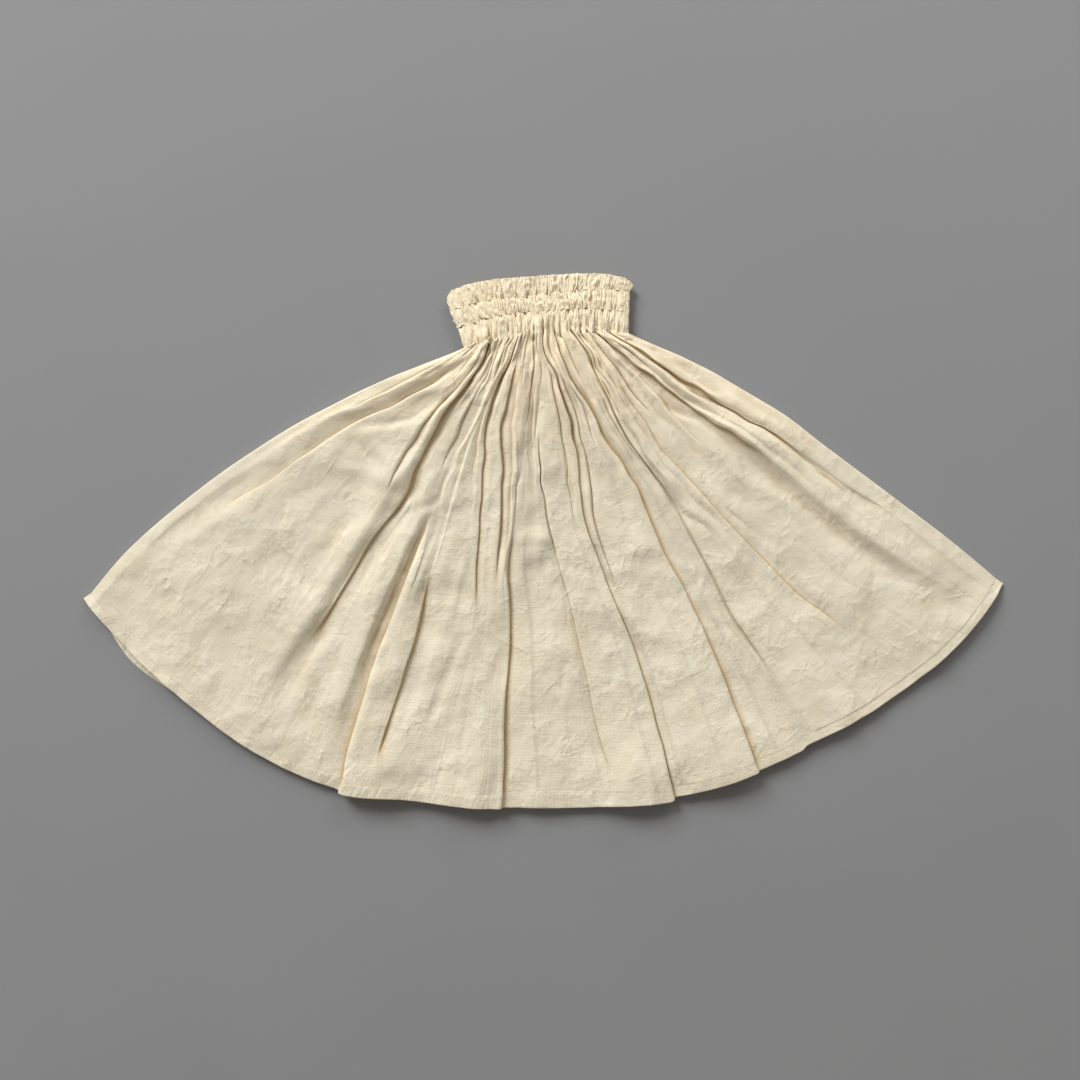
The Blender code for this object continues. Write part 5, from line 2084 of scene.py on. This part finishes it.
@dataclass(frozen=True)
class Cotton:
    """Unbleached plain-weave cotton: mottled cream, matt, with a fine weave, slubs and crumpling.

    Attributes: its mottled colours (light and warm), the painted light that they are multiplied by near
    the waist (waist) and between which places up the skirt (waist_reach), the brown of the painted shade
    in its valleys (valley), the creases' sizes, widths and depths, the crinkles' sizes and tilts, and the
    grain's sizes and depths. Depths are in mm.
    """

    name: str = "cream_cotton"
    light: Colour = (0.777, 0.731, 0.60)
    warm: Colour = (0.731, 0.657, 0.50)
    mottle: tuple[float, float] = (0.36, 0.62)
    # painted light: the cream near the waist is multiplied brighter than the cloth is
    waist: Colour = (1.23, 1.18, 1.12)
    waist_reach: tuple[float, float] = (0.10, 0.30)
    streak_end: tuple[float, float] = (0.32, 0.29)
    streak_scale: Triple = (105.0, 9.0, 1.0)
    streak_depth: float = 1.5
    # painted shade: the brown that the cloth's deep valleys and crevices are turned towards
    valley: Colour = (0.50, 0.33, 0.12)
    valley_shade_share: float = 0.9
    roughness: float = 0.92
    sheen: float = 0.15
    specular: float = 0.2
    weave_pitch: float = 0.0009
    weave_depth: float = 0.09
    slub_depth: float = 0.45
    slub_scales: tuple[Triple, Triple] = ((480.0, 45.0, 1.0), (45.0, 480.0, 1.0))
    patch_scales: tuple[tuple[float, float], ...] = ((13.0, 4.0), (62.0, 3.0))
    patch_share: float = 0.4
    slub_share: float = 0.14
    creases: tuple[tuple[float, float, float], ...] = ((66.0, 3.4, 0.55), (43.0, 2.8, 0.35), (27.0, 2.2, 0.2))
    crinkles: tuple[tuple[float, float], ...] = ((36.0, 0.07), (18.0, 0.10), (9.0, 0.14))
    grain: tuple[tuple[float, float], ...] = ((4.6, 0.34), (2.4, 0.32))

    def material(self) -> bpy.types.Material:
        """Make the cotton's material the first time it is asked for.

        Returns:
            The material.
        """
        found = bpy.data.materials.get(self.name)
        if found:
            return found
        graph = Graph(self.name, self.roughness)
        place = graph.add("TexCoord", {}).node.outputs
        cloth, solid = place["UV"], place["Object"]
        up_skirt = graph.add("SeparateXYZ", {"Vector": solid}, "Y")
        # how near the waist the cloth is: it places the painted light and the streaks
        upper = graph.between(up_skirt, *self.waist_reach)
        slubs = graph.maths("ADD", *(graph.noise(cloth, scale, 2.0) for scale in self.slub_scales))
        graph.fill(graph.shader, {
            "Sheen Weight": self.sheen,
            "Specular IOR Level": self.specular,
            "Base Color": self.colour(graph, solid, slubs, upper),
        })
        pulled = graph.times(graph.between(up_skirt, *self.streak_end), upper)
        heights = [
            graph.times(self.weave(graph, cloth), self.weave_depth),
            graph.times(slubs, self.slub_depth),
            graph.times(graph.times(graph.noise(cloth, self.streak_scale, 3.0), pulled), self.streak_depth),
            *(graph.times(graph.crease_marks(solid, size, wide), depth) for size, wide, depth in self.creases),
            *(graph.crinkle(solid, size, tilt) for size, tilt in self.crinkles),
            *(graph.times(graph.noise(solid, (1 / (s * MM),) * 3, 1.0), depth) for s, depth in self.grain),
        ]
        total = heights[0]
        for height in heights[1:]:
            total = graph.maths("ADD", total, height)
        bump = graph.add("Bump", {"Strength": 1.0, "Distance": MM, "Height": total}, "Normal")
        graph.fill(graph.shader, {"Normal": bump})
        return graph.material

    def colour(self, graph: Graph, solid: Socket, slubs: Socket, upper: Socket) -> Socket:
        """Work out the cloth's colour.

        Args:
            graph: the material's nodes.
            solid: where the cloth is.
            slubs: the weave's thick threads.
            upper: how near the waist the cloth is, from 0 to 1, which sets how much painted light it gets.

        Returns:
            The colour, with painted shade that browns its valleys and painted light near the waist.
        """
        noises = (graph.noise(solid, (scale,) * 3, detail) for scale, detail in self.patch_scales)
        patches = graph.maths("ADD", *noises)
        mixed = graph.maths("ADD", graph.times(patches, self.patch_share), graph.times(slubs, self.slub_share))
        cream = graph.ramp(mixed, self.warm, self.light, *self.mottle)
        # painted light: the cream is brightened near the waist
        cream_with_painted_light = graph.mix(upper, cream, self.waist, "MULTIPLY")
        # painted shade: the colour turns brown where the cloth lies deep in a valley or crevice
        deep = graph.add("Attribute", {}, "Fac", attribute_name="painted_shade")
        return graph.mix(graph.times(deep, self.valley_shade_share), cream_with_painted_light, self.valley)

    def weave(self, graph: Graph, cloth: Socket) -> Socket:
        """Return the height of the weave's two sets of threads."""
        uneven = {"Distortion": 1.2, "Detail": 1.0}
        return graph.maths("ADD", *(graph.threads(cloth, self.weave_pitch, way, uneven) for way in "XY"))


@dataclass(frozen=True)
class Thread:
    """Cream sewing thread: a little smoother than the cloth, with its twist."""

    name: str = "cream_thread"
    colour: Colour = (0.80, 0.72, 0.55)
    shade: Colour = (0.66, 0.57, 0.40)
    roughness: float = 0.7
    twist: float = 0.0007

    def material(self) -> bpy.types.Material:
        """Make the thread's material.

        Returns:
            The material.
        """
        graph = Graph(self.name, self.roughness)
        place = graph.add("TexCoord", {}, "Object")
        strands = graph.threads(place, self.twist, "DIAGONAL")
        # painted shade: the twist's grooves are coloured darker
        graph.fill(graph.shader, {"Base Color": graph.ramp(strands, self.shade, self.colour)})
        return graph.material


@dataclass(frozen=True)
class Studio:
    """The pale floor, the soft daylight from the upper left and the camera straight above.

    Attributes: each lamp's name, place, size and power. Sizes and places are in metres, except the lens
    and the sensor, which are in mm.
    """

    floor_size: float = 8.0
    floor_gap: float = 0.0002
    floor_colour: Colour = (0.254, 0.264, 0.282)
    floor_dark: float = 0.95
    floor_roughness: float = 0.85
    camera_place: Triple = (-0.005, 0.0, 1.62)
    lens: float = 36.0
    sensor: float = 36.0
    lamps: tuple[tuple[str, Triple, float, float], ...] = (
        ("key", (-5.2, 7.4, 5.3), 4.6, 1190.0),
        ("side", (2.2, 4.6, 2.6), 3.0, 104.0),
    )
    lamp_colour: Colour = (1.0, 0.985, 0.96)
    fill: float = 0.305
    fill_colour: Colour = (1.0, 0.91, 0.79)

    def floor(self) -> None:
        """Lay the floor just under the skirt."""
        bpy.ops.object.select_all(action="DESELECT")
        level = CAD_BOX[0][2] - self.floor_gap
        bpy.ops.mesh.primitive_plane_add(size=self.floor_size, location=(0, 0, level))
        floor = bpy.context.object
        floor.name = "floor"
        graph = Graph("pale_floor", self.floor_roughness)
        patches = graph.add("TexNoise", {"Scale": 3.0, "Vector": graph.add("TexCoord", {}, "Object")}, "Fac")
        dark = tuple(self.floor_dark * c for c in self.floor_colour)
        graph.fill(graph.shader, {"Base Color": graph.ramp(patches, dark, self.floor_colour)})
        floor.data.materials.append(graph.material)
        floor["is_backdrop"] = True

    def lights(self) -> None:
        """Hang the key light at the upper left, a weaker one at the upper right, and fill with even light."""
        for name, place, size, power in self.lamps:
            data = bpy.data.lights.new(name, "AREA")
            data.energy, data.size, data.color = power, size, self.lamp_colour
            lamp = bpy.data.objects.new(name, data)
            bpy.context.scene.collection.objects.link(lamp)
            lamp.location = place
            lamp.rotation_euler = (-Vector(place)).to_track_quat("-Z", "Y").to_euler()
        world = bpy.data.worlds.new("studio")
        bpy.context.scene.world = world
        world.use_nodes = True
        background = world.node_tree.nodes["Background"]
        background.inputs["Color"].default_value = (*self.fill_colour, 1)
        background.inputs["Strength"].default_value = self.fill

    def camera(self) -> None:
        """Put the camera straight above the skirt, with +Y up in its view."""
        data = bpy.data.cameras.new("camera")
        data.lens, data.sensor_width = self.lens, self.sensor
        camera = bpy.data.objects.new("camera", data)
        camera.location = self.camera_place
        bpy.context.scene.collection.objects.link(camera)
        bpy.context.scene.camera = camera
        bpy.context.scene.view_settings.view_transform = "Standard"

    def build(self) -> None:
        """Build the whole studio."""
        self.floor()
        self.lights()
        self.camera()


def main() -> None:
    """Build the skirt's pieces in order and report each one."""
    logging.basicConfig(level=logging.INFO, format="%(name)s: %(message)s")
    fan = Fan()
    layout = Layout(fan)
    cotton = Cotton()
    front_relief, back_relief = Relief(fan, FRONT_STROKES, GATHERS, SCALLOPS), Relief(fan, (), GATHERS)
    front = Panel("front_cloth", "front_panel", True, layout, front_relief, FRONT_LAPS, FRONT_CREASES,
                  top_share=-0.016)
    back = Panel("back_cloth", "back_panel", False, layout, back_relief, BACK_LAPS, rows=70, column_width=9.0)
    front_hem = Hem("front_hem_fold", "front_hem", front)
    back_hem = Hem("back_hem_fold", "back_hem", back, finer=2)
    casings = [Casing(index, layout, front) for index in range(len(CASINGS))]
    pieces = [part.build(cotton) for part in (front, back, front_hem, back_hem, *casings)]
    pieces.append(Stitching("hem_stitches").build(front_hem.stitch_path(), Thread()))
    for piece in pieces:
        log.info("%s: %d faces", piece.name, len(piece.data.polygons))
    Studio().build()


if __name__ == "__main__":
    main()
